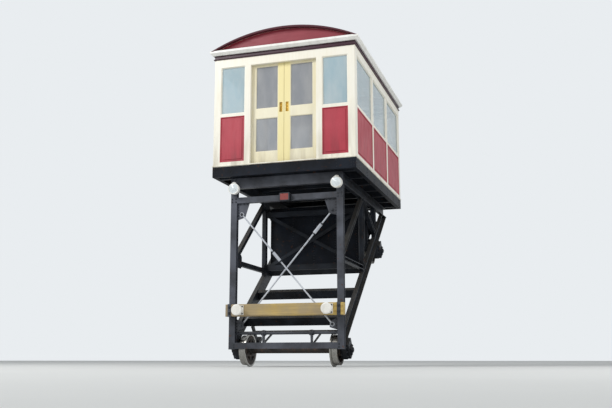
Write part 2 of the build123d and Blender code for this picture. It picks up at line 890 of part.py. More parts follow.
# Marker lamps on the posts: square brackets, drums and round lenses
lamp_inset = 30
lamp_drop = 380
lamp_radius = 95
lamp_bracket_width = 90
lamp_bracket_length = 42
lamp_length = 105
lens_radius = 82
lens_thickness = 14
lamp_face = post_face + lamp_length
lamp_places = [
    (side * (truss_centre - lamp_inset), sill_height - lamp_drop) for side in (-1, 1)
]
with BuildPart() as marker_lamps:
    with BuildSketch(outward_plane(0, -1, post_face)):
        with Locations(*lamp_places):
            Rectangle(lamp_bracket_width, lamp_bracket_width)
    extrude(amount=lamp_bracket_length)
    with BuildSketch(outward_plane(0, -1, post_face + lamp_bracket_length)):
        with Locations(*lamp_places):
            Circle(lamp_radius)
    extrude(amount=lamp_length - lamp_bracket_length)
pieces["marker_lamps"] = marker_lamps.part

with BuildPart() as marker_lenses:
    with BuildSketch(outward_plane(0, -1, lamp_face)):
        with Locations(*lamp_places):
            Circle(lens_radius)
    extrude(amount=lens_thickness)
pieces["marker_lenses"] = marker_lenses.part

# Red lamp in the middle of the lamp bar, its corners cut off
tail_width = 190
tail_height = 150
tail_depth = 80
tail_corner = 20
tail_lens_width = 146
tail_lens_height = 106
tail_lens_seat = 20
tail_lens_proud = 8
with BuildPart() as tail_lamp:
    with BuildSketch(outward_plane(0, -1, post_face)) as tail_outline:
        with Locations((0, lamp_bar_place)):
            Rectangle(tail_width, tail_height)
        chamfer(tail_outline.vertices(), length=tail_corner)
    extrude(amount=tail_depth)
    with BuildSketch(outward_plane(0, -1, post_face + tail_depth)):
        with Locations((0, lamp_bar_place)):
            Rectangle(
                tail_lens_width + 2 * seat_clearance,
                tail_lens_height + 2 * seat_clearance,
            )
    extrude(amount=-tail_lens_seat, mode=Mode.SUBTRACT)
pieces["tail_lamp"] = tail_lamp.part

with BuildPart() as tail_lens:
    with BuildSketch(outward_plane(0, -1, post_face + tail_depth - tail_lens_seat)):
        with Locations((0, lamp_bar_place)):
            Rectangle(tail_lens_width, tail_lens_height)
    extrude(amount=tail_lens_seat + tail_lens_proud)
pieces["tail_lens"] = tail_lens.part

# Wheelset: axle, flanged wheels with openings between their spokes, and outside journals
axle_radius = 55
journal_radius = 40
hub_radius = 95
hub_proud = 6
rim_depth = 45
flange_rise = 25
flange_width = 34
flange_slope = 8
tread_width = 90
web_thickness = 28
spoke_count = 6
spoke_gap_width = 140
spoke_gap_depth = 54
box_gap = 26
box_length = 152
box_wall = 15
flange_face = rail_gauge / 2
wheel_back = flange_face - flange_width
wheel_front = flange_face + tread_width
web_front = wheel_back + web_thickness
rim_inner = wheel_radius - rim_depth
box_inner = wheel_front + box_gap
box_outer = box_inner + box_length
journal_end = box_outer - box_wall
half_profile = [
    # place along the axle, radius
    (wheel_back, axle_radius),
    (wheel_back, wheel_radius + flange_rise),
    (flange_face - flange_slope, wheel_radius + flange_rise),
    (flange_face, wheel_radius),
    (wheel_front, wheel_radius),
    (wheel_front, rim_inner),
    (web_front, rim_inner),
    (web_front, hub_radius),
    (wheel_front + hub_proud, hub_radius),
    (wheel_front + hub_proud, journal_radius),
    (journal_end, journal_radius),
]
axle_y, axle_z = slope_point(-axle_along, wheel_radius)
with BuildPart() as lower_wheelset:
    with BuildSketch(Plane(origin=(0, axle_y, axle_z), x_dir=(1, 0, 0), z_dir=(0, 0, 1))):
        with BuildLine():
            Polyline(
                (-journal_end, 0),
                *[(-place, radius) for place, radius in reversed(half_profile)],
                *half_profile,
                (journal_end, 0),
                close=True,
            )
        make_face()
    revolve(axis=Axis((0, axle_y, axle_z), (1, 0, 0)))
    with BuildSketch(Plane(origin=(-wheel_front, axle_y, axle_z), x_dir=(0, 1, 0), z_dir=(1, 0, 0))):
        with PolarLocations((hub_radius + rim_inner) / 2, spoke_count):
            Trapezoid(spoke_gap_width, spoke_gap_depth, 90 - 180 / spoke_count, rotation=90)
    extrude(amount=2 * wheel_front, mode=Mode.SUBTRACT)
pieces["lower_wheelset"] = lower_wheelset.part

with BuildPart() as upper_wheelset:
    with Locations((0, 2 * contact_place, 2 * contact_place * slope_rise)):
        add(lower_wheelset.part)
pieces["upper_wheelset"] = upper_wheelset.part

# Axle boxes between the guides, bored for the journals, with cover plates
box_low = 140
cover_width = 130
cover_thickness = 18
journal_end_gap = 6
with BuildPart() as axle_boxes:
    for axle_place in (-axle_along, axle_along):
        with BuildSketch(slope_side(box_inner)):
            with Locations((axle_place, (box_low + solebar_low) / 2)):
                Rectangle(2 * (box_half_width - seat_clearance), solebar_low - box_low)
        extrude(amount=box_length)
        with BuildSketch(slope_side(box_outer)):
            with Locations((axle_place, wheel_radius)):
                Rectangle(cover_width, cover_width)
        extrude(amount=cover_thickness)
        with BuildSketch(slope_side(box_inner)):
            with Locations((axle_place, wheel_radius)):
                Circle(journal_radius + running_clearance)
        extrude(amount=box_length - box_wall + journal_end_gap, mode=Mode.SUBTRACT)
    mirror(about=Plane.YZ)
pieces["axle_boxes"] = axle_boxes.part

# Brake shaft across the solebars, with two cranks that hang from it
shaft_radius = 28
shaft_setback = 80
shaft_rise = 210
crank_place = 420
crank_reach = 190
crank_width = 50
crank_overrun = 30
crank_thickness = 24
crank_boss = 48
shaft_y = -front_plane + shaft_setback
shaft_z = low_bar_place + shaft_rise
crank_pin_z = shaft_z - crank_reach
with BuildPart() as brake_shaft:
    with BuildSketch(Plane.YZ):
        with Locations((shaft_y, shaft_z)):
            Circle(shaft_radius)
    extrude(amount=truss_inner, both=True)
    for side in (-1, 1):
        with BuildSketch(Plane.YZ.offset(side * crank_place)):
            with BuildLine():
                Polyline(
                    (shaft_y - crank_boss, shaft_z),
                    (shaft_y - crank_width / 2, shaft_z + crank_boss),
                    (shaft_y + crank_width / 2, shaft_z + crank_boss),
                    (shaft_y + crank_boss, shaft_z),
                    (shaft_y + crank_width / 2, crank_pin_z - crank_overrun),
                    (shaft_y - crank_width / 2, crank_pin_z - crank_overrun),
                    close=True,
                )
            make_face()
        extrude(amount=crank_thickness / 2, both=True)
pieces["brake_shaft"] = brake_shaft.part

# Rail brakes: slippers on hangers under the first cross member, a bar between the hangers,
# and links from the bar to the cranks
slipper_offset = 28
slipper_place = rail_gauge / 2 + slipper_offset
slipper_width = 90
slipper_half_length = 150
slipper_low = 30
slipper_top = 100
slipper_slope_run = 30
slipper_slope_rise = 25
brake_hanger_width = 90
brake_hanger_thickness = 24
brake_bar_depth = 44
brake_bar_height = 300
link_depth = 40
link_thickness = 12
link_overrun = 25
link_place = crank_place + (crank_thickness + link_thickness) / 2 + seat_clearance
brake_bar_y, brake_bar_z = slope_point(first_member, brake_bar_height)
link_run = Vector(0, brake_bar_y - shaft_y, brake_bar_z - crank_pin_z)
link_start = Vector(link_place, shaft_y, crank_pin_z) - link_run.normalized() * link_overrun
with BuildPart() as rail_brakes:
    with BuildSketch(slope_side(0)):
        with Locations((first_member, brake_bar_height)):
            Rectangle(brake_bar_depth, brake_bar_depth)
    extrude(amount=slipper_place)
    with BuildSketch(Plane(origin=link_start, x_dir=(1, 0, 0), z_dir=link_run)):
        Rectangle(link_thickness, link_depth)
    extrude(amount=link_run.length + link_overrun)
    with BuildSketch(slope_side(slipper_place - brake_hanger_thickness / 2)):
        with Locations((first_member, (slipper_top + member_low) / 2)):
            Rectangle(brake_hanger_width, member_low - slipper_top)
    extrude(amount=brake_hanger_thickness)
    with BuildSketch(slope_side(slipper_place - slipper_width / 2)):
        with BuildLine():
            Polyline(
                (first_member - slipper_half_length, slipper_top),
                (first_member - slipper_half_length, slipper_low + slipper_slope_rise),
                (first_member - slipper_half_length + slipper_slope_run, slipper_low),
                (first_member + slipper_half_length - slipper_slope_run, slipper_low),
                (first_member + slipper_half_length, slipper_low + slipper_slope_rise),
                (first_member + slipper_half_length, slipper_top),
                close=True,
            )
        make_face()
    extrude(amount=slipper_width)
    mirror(about=Plane.YZ)
pieces["rail_brakes"] = rail_brakes.part

# Rope hitch under the uppermost cross member: two plates bored for a pin
hitch_pin_reach = 520
hitch_pin_height = 270
hitch_pin_radius = 25
hitch_eye_reach = 75
hitch_nose = 62
hitch_base = 180
hitch_base_thickness = 24
hitch_drop = 120
plate_gap = 80
plate_thickness = 20
hitch_pin_along = last_member + hitch_pin_reach
with BuildPart() as rope_hitch:
    with BuildSketch(slope_side(plate_gap / 2)):
        with BuildLine():
            Polyline(
                (hitch_pin_along, hitch_pin_height - hitch_eye_reach),
                (last_member - hitch_base / 2, member_low - hitch_drop),
                (last_member - hitch_base / 2, member_low),
                (last_member + hitch_base / 2, member_low),
                (hitch_pin_along, hitch_pin_height + hitch_eye_reach),
                (hitch_pin_along + hitch_eye_reach, hitch_pin_height + hitch_nose / 2),
                (hitch_pin_along + hitch_eye_reach, hitch_pin_height - hitch_nose / 2),
                close=True,
            )
        make_face()
        with Locations((hitch_pin_along, hitch_pin_height)):
            Circle(hitch_pin_radius, mode=Mode.SUBTRACT)
    extrude(amount=plate_thickness)
    with BuildSketch(slope_side(0)):
        with Locations((last_member, member_low - hitch_base_thickness / 2)):
            Rectangle(hitch_base, hitch_base_thickness)
    extrude(amount=plate_gap / 2)
    mirror(about=Plane.YZ)
pieces["rope_hitch"] = rope_hitch.part

# Twins on the left side and at the upper end
left_twins = {
    "right_side_wall": "left_side_wall",
    "right_truss": "left_truss",
    "lower_door_right": "lower_door_left",
    "lower_door_glass_right": "lower_door_glass_left",
}
upper_twins = {
    "lower_end_wall": "upper_end_wall",
    "lower_door_right": "upper_door_right",
    "lower_door_left": "upper_door_left",
    "lower_door_glass_right": "upper_door_glass_right",
    "lower_door_glass_left": "upper_door_glass_left",
}
for first, twin in left_twins.items():
    pieces[twin] = mirrored(pieces[first], Plane.YZ)
for first, twin in upper_twins.items():
    pieces[twin] = mirrored(pieces[first], Plane.XZ)

for name, piece in pieces.items():
    piece.label = name
    export_step(piece, f"parts/{name}.step")
print(len(pieces), "pieces written")
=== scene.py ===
import math

import bmesh
import bpy
from mathutils import Matrix, Vector


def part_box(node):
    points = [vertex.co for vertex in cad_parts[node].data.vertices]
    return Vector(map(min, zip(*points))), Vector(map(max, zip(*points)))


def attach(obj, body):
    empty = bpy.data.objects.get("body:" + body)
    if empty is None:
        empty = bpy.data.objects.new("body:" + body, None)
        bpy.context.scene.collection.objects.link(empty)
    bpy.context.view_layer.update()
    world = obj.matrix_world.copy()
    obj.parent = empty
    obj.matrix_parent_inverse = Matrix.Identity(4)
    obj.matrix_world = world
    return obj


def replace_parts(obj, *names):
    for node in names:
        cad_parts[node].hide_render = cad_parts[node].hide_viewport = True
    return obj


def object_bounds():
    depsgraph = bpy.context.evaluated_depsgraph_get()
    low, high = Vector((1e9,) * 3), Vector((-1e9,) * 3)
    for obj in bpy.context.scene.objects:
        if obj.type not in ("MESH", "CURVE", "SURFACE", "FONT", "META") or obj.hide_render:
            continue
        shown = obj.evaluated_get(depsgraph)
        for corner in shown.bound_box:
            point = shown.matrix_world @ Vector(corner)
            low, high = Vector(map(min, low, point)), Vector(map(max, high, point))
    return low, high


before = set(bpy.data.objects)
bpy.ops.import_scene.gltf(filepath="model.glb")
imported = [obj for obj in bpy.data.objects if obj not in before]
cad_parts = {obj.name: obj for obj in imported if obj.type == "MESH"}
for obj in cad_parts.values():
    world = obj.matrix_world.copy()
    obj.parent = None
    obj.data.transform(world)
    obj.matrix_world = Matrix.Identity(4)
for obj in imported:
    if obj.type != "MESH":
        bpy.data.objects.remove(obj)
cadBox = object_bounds()
print("frame loaded,", len(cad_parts), "nodes")

# the slope that the car stands on, and the faces that the trim is set out from
slope = {"rise": 0.78, "axleHeight": 0.25, "contactPlace": 1.25}
slopeCos = math.cos(math.atan(slope["rise"]))
slopeSin = math.sin(math.atan(slope["rise"]))
axleAlong = slope["contactPlace"] / slopeCos
wallLow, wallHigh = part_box("lower_end_wall")
beamLow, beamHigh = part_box("buffer_beam")
roofLow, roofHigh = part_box("roof")
sill = wallLow.z
endFace = -wallLow.y
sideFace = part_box("right_side_wall")[1].x


# side view place (y, z) from a distance along the slope and one square to it
def slopePoint(along, height):
    return along * slopeCos - height * slopeSin, along * slopeSin + height * slopeCos


# height over y of a line that runs with the slope
def slopeLine(y, height):
    return y * slope["rise"] + height / slopeCos


wheelCentres = {
    "lower_wheelset": slopePoint(-axleAlong, slope["axleHeight"]),
    "upper_wheelset": slopePoint(axleAlong, slope["axleHeight"]),
}


# hex colour to the linear values that a shader takes
def linear(code):
    channels = [int(code[i:i + 2], 16) / 255 for i in (1, 3, 5)]
    return [c / 12.92 if c <= 0.04045 else ((c + 0.055) / 1.055) ** 2.4 for c in channels] + [1]


# gives a node its inputs, each a socket to link, a hex colour or a plain value
def setInputs(tree, node, inputs):
    for name, value in inputs.items():
        if isinstance(value, bpy.types.NodeSocket):
            tree.links.new(value, node.inputs[name])
        else:
            node.inputs[name].default_value = linear(value) if str(value)[0] == "#" else value


def addNode(tree, kind, inputs={}, **settings):
    node = tree.nodes.new(kind)
    for setting, value in settings.items():
        setattr(node, setting, value)
    setInputs(tree, node, inputs)
    return node


def calculate(tree, operation, *values):
    return addNode(tree, "ShaderNodeMath", dict(enumerate(values)), operation=operation).outputs[0]


def mapRange(tree, value, low, high, toLow=0, toHigh=1):
    return addNode(tree, "ShaderNodeMapRange", {
        "Value": value, "From Min": low, "From Max": high,
        "To Min": toLow, "To Max": toHigh}).outputs[0]


def axisValue(tree, vector, axis):
    return addNode(tree, "ShaderNodeSeparateXYZ", {0: vector}).outputs[axis]


def facingUp(tree):
    return axisValue(tree, addNode(tree, "ShaderNodeNewGeometry").outputs["Normal"], "Z")


# lays colours over one another, each as its mask, and the colour with the share of it that shows
def layered(tree, colour, *layers):
    for mask, (over, share) in layers:
        factor = mask if share == 1 else calculate(tree, "MULTIPLY", mask, share)
        mixed = addNode(tree, "ShaderNodeMix", {0: factor, 6: colour, 7: over}, data_type="RGBA")
        colour = mixed.outputs[2]
    return colour


# noise of each mask: its scale, and the two levels between which the mask rises
noises = {
    "brush": (26, 0.35, 0.68), "fade": (1.3, 0.38, 0.66), "streak": (9, 0.44, 0.74),
    "chips": (52, 0.705, 0.73), "highlightPatches": (3.2, 0.36, 0.66), "steelGrain": (70, 0.3, 0.7),
    "dust": (5, 0.35, 0.72), "smear": (38, 0.45, 0.75), "woodGrain": (30, 0.32, 0.68),
    "woodPatches": (2.4, 0.4, 0.62), "plankGrain": (24, 0.35, 0.7), "grit": (150, 0.3, 0.7),
    "stain": (2.1, 0.4, 0.64), "ironGrain": (60, 0.35, 0.7), "ironRust": (12, 0.5, 0.7),
    "wear": (40, 0.4, 0.66), "tarnish": (8, 0.4, 0.7), "haze": (30, 0.4, 0.7),
    "floor": (0.6, 0.3, 0.7),
}


def noiseMask(tree, coords, noise, stretch=(1, 1, 1), detail=4):
    scale, low, high = noise
    mapping = addNode(tree, "ShaderNodeMapping", {"Vector": coords, "Scale": stretch})
    made = addNode(tree, "ShaderNodeTexNoise", {
        "Vector": mapping.outputs[0], "Scale": scale, "Detail": detail})
    return mapRange(tree, made.outputs["Fac"], low, high)


# thin lines across one axis, from the troughs of a wave
def bandLines(tree, coords, direction, scale, share):
    waves = addNode(tree, "ShaderNodeTexWave", {"Vector": coords, "Scale": scale},
                    bands_direction=direction)
    return mapRange(tree, waves.outputs["Fac"], share, 0)


def freshMaterial(name):
    material = bpy.data.materials.new(name)
    material.use_nodes = True
    tree = material.node_tree
    coords = addNode(tree, "ShaderNodeTexCoord").outputs["Object"]
    return material, tree, tree.nodes["Principled BSDF"], coords


# colour on the shader, and a roughness that goes from its first value to its second with a mask
def dress(tree, shader, colour, mask, rough):
    roughness = mapRange(tree, mask, 0, 1, *rough)
    setInputs(tree, shader, {"Base Color": colour, "Roughness": roughness})


def addBump(tree, shader, height, strength, distance):
    bump = addNode(tree, "ShaderNodeBump", {
        "Strength": strength, "Distance": distance, "Height": height})
    setInputs(tree, shader, {"Normal": bump.outputs["Normal"]})


# gloss paint on timber: brush marks, fading, streaks of dirt from below, small chips
def paintedTimber(name, look):
    material, tree, shader, coords = freshMaterial(name)
    brush = noiseMask(tree, coords, noises["brush"], look["stretch"])
    fade = noiseMask(tree, coords, noises["fade"])
    streak = noiseMask(tree, coords, noises["streak"], (1, 1, 0.16))
    lowDown = mapRange(tree, axisValue(tree, coords, "Z"), *look["dirtBetween"])
    fewerHighUp = mapRange(tree, lowDown, 0, 1, toLow=0.35)
    chips = calculate(tree, "MULTIPLY", noiseMask(tree, coords, noises["chips"]), fewerHighUp)
    colour = layered(tree, look["paint"], (brush, look["brushed"]), (fade, look["faded"]),
                     (calculate(tree, "MULTIPLY", streak, lowDown), look["dirt"]),
                     (chips, look["under"]))
    if "stile" in look:
        across = calculate(tree, "ABSOLUTE", axisValue(tree, coords, "X"))
        nearMiddle = mapRange(tree, across, *look["stileBetween"])
        colour = layered(tree, colour, (nearMiddle, look["stile"]))
    dress(tree, shader, colour, brush, look["rough"])
    addBump(tree, shader, brush, strength=0.16, distance=0.003)
    return material


vertical, lengthwise = (1, 1, 0.12), (0.15, 0.15, 1)  # stretch of the brush marks
paintLooks = {
    "creamPaint": {
        "paint": "#F3EEDF", "brushed": ("#EAE2CB", 0.5), "faded": ("#F7F4EA", 0.6),
        "dirt": ("#958970", 0.55), "under": ("#8A6A48", 0.5), "rough": (0.3, 0.46),
        "stretch": vertical, "dirtBetween": (sill + 1.1, sill - 0.1)},
    "doorPaint": {
        "paint": "#EDE4C6", "brushed": ("#E6D9B0", 0.5), "faded": ("#F2ECD6", 0.6),
        "dirt": ("#8C7C58", 0.55), "under": ("#8A6A48", 0.5), "stile": ("#F0E096", 0.7),
        "stileBetween": (0.12, 0.1), "rough": (0.28, 0.44), "stretch": vertical,
        "dirtBetween": (sill + 1.1, sill - 0.1)},
    "maroonPaint": {
        "paint": "#A9293B", "brushed": ("#962131", 0.5), "faded": ("#B84350", 0.6),
        "dirt": ("#4F272B", 0.55), "under": ("#B98A74", 0.35), "rough": (0.42, 0.58),
        "stretch": vertical, "dirtBetween": (sill + 0.9, sill - 0.1)},
    # maroon darker than the panels', partly painted shade on the arch under the roof's edge
    "archMaroonAndShade": {
        "paint": "#86202F", "brushed": ("#741A28", 0.5), "faded": ("#96323F", 0.6),
        "dirt": ("#3E1C20", 0.55), "under": ("#A8806C", 0.3), "rough": (0.4, 0.56),
        "stretch": (0.15, 1, 1), "dirtBetween": (sill + 2.1, sill + 1.9)},
    # near black maroon, partly painted shade under the cornice, on the frieze and its mouldings
    "friezeMaroonAndShade": {
        "paint": "#351022", "brushed": ("#2B0C1B", 0.5), "faded": ("#46182B", 0.6),
        "dirt": ("#241018", 0.55), "under": ("#8A5A4C", 0.3), "rough": (0.3, 0.46),
        "stretch": lengthwise, "dirtBetween": (sill + 3, sill)},
    "whitePaint": {
        "paint": "#F7F6F1", "brushed": ("#ECEAE2", 0.5), "faded": ("#FAF9F5", 0.6),
        "dirt": ("#A29C8C", 0.55), "under": ("#9A8468", 0.4), "rough": (0.3, 0.46),
        "stretch": lengthwise, "dirtBetween": (sill + 2.4, sill + 1.6)},
    "bufferPaint": {
        "paint": "#EDEAE2", "brushed": ("#DDD8CC", 0.5), "faded": ("#F2F0EA", 0.6),
        "dirt": ("#7C7466", 0.55), "under": ("#5E5A54", 0.9), "rough": (0.34, 0.5),
        "stretch": (1, 1, 1), "dirtBetween": (beamHigh.z + 0.2, beamLow.z - 0.4)},
}


# steel paint: a painted sheen, lighter patches that stand in for highlights, dust on top faces, rust
# at the chips
def paintedSteel(name, look):
    material, tree, shader, coords = freshMaterial(name)
    highlightPatches = noiseMask(tree, coords, noises["highlightPatches"])
    grain = noiseMask(tree, coords, noises["steelGrain"])
    rust = noiseMask(tree, coords, look["rustNoise"])
    dust = calculate(tree, "MULTIPLY", mapRange(tree, facingUp(tree), 0.35, 0.95), grain)
    colour = layered(tree, look["paint"], (highlightPatches, look["paintedSheen"]), (dust, look["dust"]),
                     (rust, look["rust"]))
    dress(tree, shader, colour, grain, look["rough"])
    setInputs(tree, shader, {"Specular IOR Level": look["specular"]})
    addBump(tree, shader, grain, strength=0.18, distance=0.002)
    return material


steelLooks = {
    "frameSteel": {
        "paint": "#15171B", "paintedSheen": ("#272C34", 1), "dust": ("#6B665C", 0.7),
        "rust": ("#4C2D1C", 0.8), "rustNoise": (17, 0.66, 0.72),
        "rough": (0.36, 0.58), "specular": 0.2},
    # the frame's black paint made lighter and glossier on the front frame, a painted highlight where
    # the front is lit
    "frontSteelPaintedLight": {
        "paint": "#35373D", "paintedSheen": ("#53565F", 1), "dust": ("#7C7870", 0.7),
        "rust": ("#4C2D1C", 0.8), "rustNoise": (17, 0.67, 0.73),
        "rough": (0.32, 0.54), "specular": 0.35},
    # grey tie rods, lightened as a painted highlight along them
    "rodSteelPaintedHighlight": {
        "paint": "#B2B6BE", "paintedSheen": ("#CBCFD6", 1), "dust": ("#C6C3B8", 0.7),
        "rust": ("#6A4632", 0.8), "rustNoise": (17, 0.64, 0.7),
        "rough": (0.34, 0.56), "specular": 0.5},
    # black darker than the frame's, painted shade on the tank behind the front frame and on the floor
    # frame under the cabin
    "tankSteelPaintedShade": {
        "paint": "#101217", "paintedSheen": ("#1A1F28", 1), "dust": ("#4A4740", 0.7),
        "rust": ("#3C261A", 0.8), "rustNoise": (17, 0.64, 0.7),
        "rough": (0.42, 0.64), "specular": 0.12},
}


# window glass: its tint with a painted reflection in the base colour, dust and smears
def windowGlass(name, look):
    material, tree, shader, coords = freshMaterial(name)
    dust = noiseMask(tree, coords, noises["dust"], (1, 1, 0.4))
    smear = noiseMask(tree, coords, noises["smear"], (1, 1, 0.25))
    dress(tree, shader, layered(tree, look["clear"], (dust, look["dusty"])), smear, look["rough"])
    setInputs(tree, shader, {
        "Alpha": look["alpha"], "IOR": 1.5, "Coat Weight": 0.6, "Coat Roughness": 0.03})
    return material


# pale sky blue on the side panes and grey on the doors are painted reflections over the glass's tint
glassLooks = {
    "sideGlass": {"clear": "#C0DAE4", "dusty": ("#D8E7EC", 1), "alpha": 0.52, "rough": (0.03, 0.14)},
    "doorGlass": {"clear": "#A1A4AA", "dusty": ("#B8B9BB", 1), "alpha": 0.62, "rough": (0.03, 0.14)},
}


# bare or varnished wood with its grain along one axis, greyed towards one end where the look says so
def grainedWood(name, look):
    material, tree, shader, coords = freshMaterial(name)
    grain = noiseMask(tree, coords, noises["woodGrain"], look["stretch"], detail=6)
    patches = noiseMask(tree, coords, noises["woodPatches"], look["patchStretch"])
    colour = layered(tree, look["light"], (grain, look["dark"]), (patches, look["weathered"]))
    if "grey" in look:
        greyed = mapRange(tree, axisValue(tree, coords, "X"), *look["greyBetween"])
        colour = layered(tree, colour, (greyed, look["grey"]))
    dress(tree, shader, colour, grain, look["rough"])
    addBump(tree, shader, grain, strength=0.3, distance=0.003)
    return material


woodLooks = {
    "benchWood": {
        "light": "#8A5A34", "dark": ("#5E3A20", 1), "weathered": ("#9A6B42", 0.7),
        "rough": (0.25, 0.45), "stretch": (1, 0.06, 1), "patchStretch": (1, 0.3, 1)},
    "beamWood": {
        "light": "#CFB264", "dark": ("#A38644", 1), "weathered": ("#948672", 0.7),
        "grey": ("#948672", 0.65), "greyBetween": (-0.12, -0.5),
        "rough": (0.55, 0.75), "stretch": (0.05, 1, 1), "patchStretch": (0.8, 1, 1)},
}


# floor planks with dark joints
def plankFloor(name, look):
    material, tree, shader, coords = freshMaterial(name)
    planks = addNode(tree, "ShaderNodeTexBrick", {
        "Vector": coords, "Color1": look["light"], "Color2": look["dark"], "Mortar": look["joint"],
        "Scale": 1, "Mortar Size": look["jointWidth"], "Brick Width": look["plankLength"],
        "Row Height": look["plankWidth"]})
    grain = noiseMask(tree, coords, noises["plankGrain"], (0.12, 1, 1))
    colour = layered(tree, planks.outputs["Color"], (grain, look["grain"]))
    dress(tree, shader, colour, grain, look["rough"])
    addBump(tree, shader, grain, strength=0.25, distance=0.002)
    return material


plankLooks = {
    "plankWood": {
        "light": "#6E5138", "dark": "#513825", "grain": ("#513825", 0.5), "joint": "#1E1510",
        "jointWidth": 0.004, "plankLength": 1.8, "plankWidth": 0.12, "rough": (0.45, 0.7)},
}


# felt on top with laps across it, painted boards on the underside, paint on the edge over the ends
def roofCovering(name, look):
    material, tree, shader, coords = freshMaterial(name)
    grit = noiseMask(tree, coords, noises["grit"])
    stain = noiseMask(tree, coords, noises["stain"], (1, 0.5, 1))
    laps = bandLines(tree, coords, "Y", look["lapScale"], look["lapShare"])
    joints = bandLines(tree, coords, "X", look["boardScale"], look["jointShare"])
    felt = layered(tree, look["felt"], (stain, look["stain"]), (grit, look["grit"]),
                   (laps, look["lap"]))
    normalZ = facingUp(tree)
    underside = mapRange(tree, normalZ, *look["underTilt"])
    along = calculate(tree, "ABSOLUTE", axisValue(tree, coords, "Y"))
    edge = calculate(tree, "MULTIPLY", mapRange(tree, along, *look["edgeBetween"]),
                     mapRange(tree, normalZ, *look["edgeTilt"]))
    boards = layered(tree, look["boards"], (joints, look["joint"]))
    colour = layered(tree, felt, (underside, (boards, 1)), (edge, look["edge"]))
    dress(tree, shader, colour, underside, look["rough"])
    addBump(tree, shader, grit, strength=0.25, distance=0.002)
    return material


roofLooks = {
    "roofFelt": {
        "felt": "#B9B9B4", "stain": ("#8F8E86", 0.6), "grit": ("#7E7D77", 0.3),
        "lap": ("#6F6E68", 0.75), "lapScale": 0.33, "lapShare": 0.0022,
        "boards": "#E9E3CF", "joint": ("#6A6252", 1), "boardScale": 2.6, "jointShare": 0.05,
        "edge": ("#4A1824", 1), "edgeBetween": (endFace + 0.002, endFace + 0.004),
        "underTilt": (-0.05, -0.15), "edgeTilt": (0.4, 0.2), "rough": (0.75, 0.4)},
}


def bareMetal(name, look):
    material, tree, shader, coords = freshMaterial(name)
    wear = noiseMask(tree, coords, noises["wear"])
    tarnish = noiseMask(tree, coords, noises["tarnish"])
    colour = layered(tree, look["bright"], (tarnish, look["dull"]))
    dress(tree, shader, colour, wear, look["rough"])
    setInputs(tree, shader, {"Metallic": look["metallic"]})
    addBump(tree, shader, wear, strength=0.12, distance=0.001)
    return material


metalLooks = {
    "brass": {"bright": "#C9A24C", "dull": ("#8A6A2E", 0.7), "rough": (0.2, 0.45), "metallic": 1},
    "boltSteel": {"bright": "#3C4046", "dull": ("#24211F", 0.7), "rough": (0.35, 0.6),
                  "metallic": 0.4},
}


def lampLens(name, look):
    material, tree, shader, coords = freshMaterial(name)
    haze = noiseMask(tree, coords, noises["haze"])
    dress(tree, shader, layered(tree, look["glass"], (haze, look["haze"])), haze, look["rough"])
    setInputs(tree, shader, {"Coat Weight": 0.7})
    return material


lensLooks = {
    "whiteLens": {"glass": "#E2E8EA", "haze": ("#B9C2C6", 0.35), "rough": (0.08, 0.24)},
    "redLens": {"glass": "#8E3229", "haze": ("#6E2A24", 0.35), "rough": (0.08, 0.24)},
}


# cast wheel: polished tread ring, greasy iron elsewhere
def wheelIron(name, look, centre):
    material, tree, shader, coords = freshMaterial(name)
    mapping = addNode(tree, "ShaderNodeMapping", {
        "Vector": coords, "Location": (0, -centre[0], -centre[1])})
    flat = addNode(tree, "ShaderNodeVectorMath", {0: mapping.outputs[0], 1: (0, 1, 1)},
                   operation="MULTIPLY")
    radius = addNode(tree, "ShaderNodeVectorMath", {0: flat.outputs[0]}, operation="LENGTH")
    tread = mapRange(tree, radius.outputs["Value"], *look["treadBetween"])
    grain = noiseMask(tree, coords, noises["ironGrain"])
    rust = noiseMask(tree, coords, noises["ironRust"])
    iron = layered(tree, look["iron"], (rust, look["rust"]))
    worn = layered(tree, look["tread"], (grain, look["grime"]))
    dress(tree, shader, layered(tree, iron, (tread, (worn, 1))), tread, look["rough"])
    setInputs(tree, shader, {"Metallic": mapRange(tree, tread, 0, 1, *look["metallic"])})
    addBump(tree, shader, grain, strength=0.25, distance=0.002)
    return material


wheelLook = {"iron": "#2B2724", "rust": ("#4A3527", 1), "tread": "#A9A7A2",
             "grime": ("#2B2724", 0.4), "treadBetween": (0.244, 0.248),
             "rough": (0.65, 0.3), "metallic": (0.1, 0.95)}
materials = {}
for name, centre in wheelCentres.items():
    materials[name] = wheelIron(name + "Iron", wheelLook, centre)
for maker, looks in ((paintedTimber, paintLooks), (paintedSteel, steelLooks),
                     (windowGlass, glassLooks), (grainedWood, woodLooks), (plankFloor, plankLooks),
                     (roofCovering, roofLooks), (bareMetal, metalLooks), (lampLens, lensLooks)):
    for name, look in looks.items():
        materials[name] = maker(name, look)

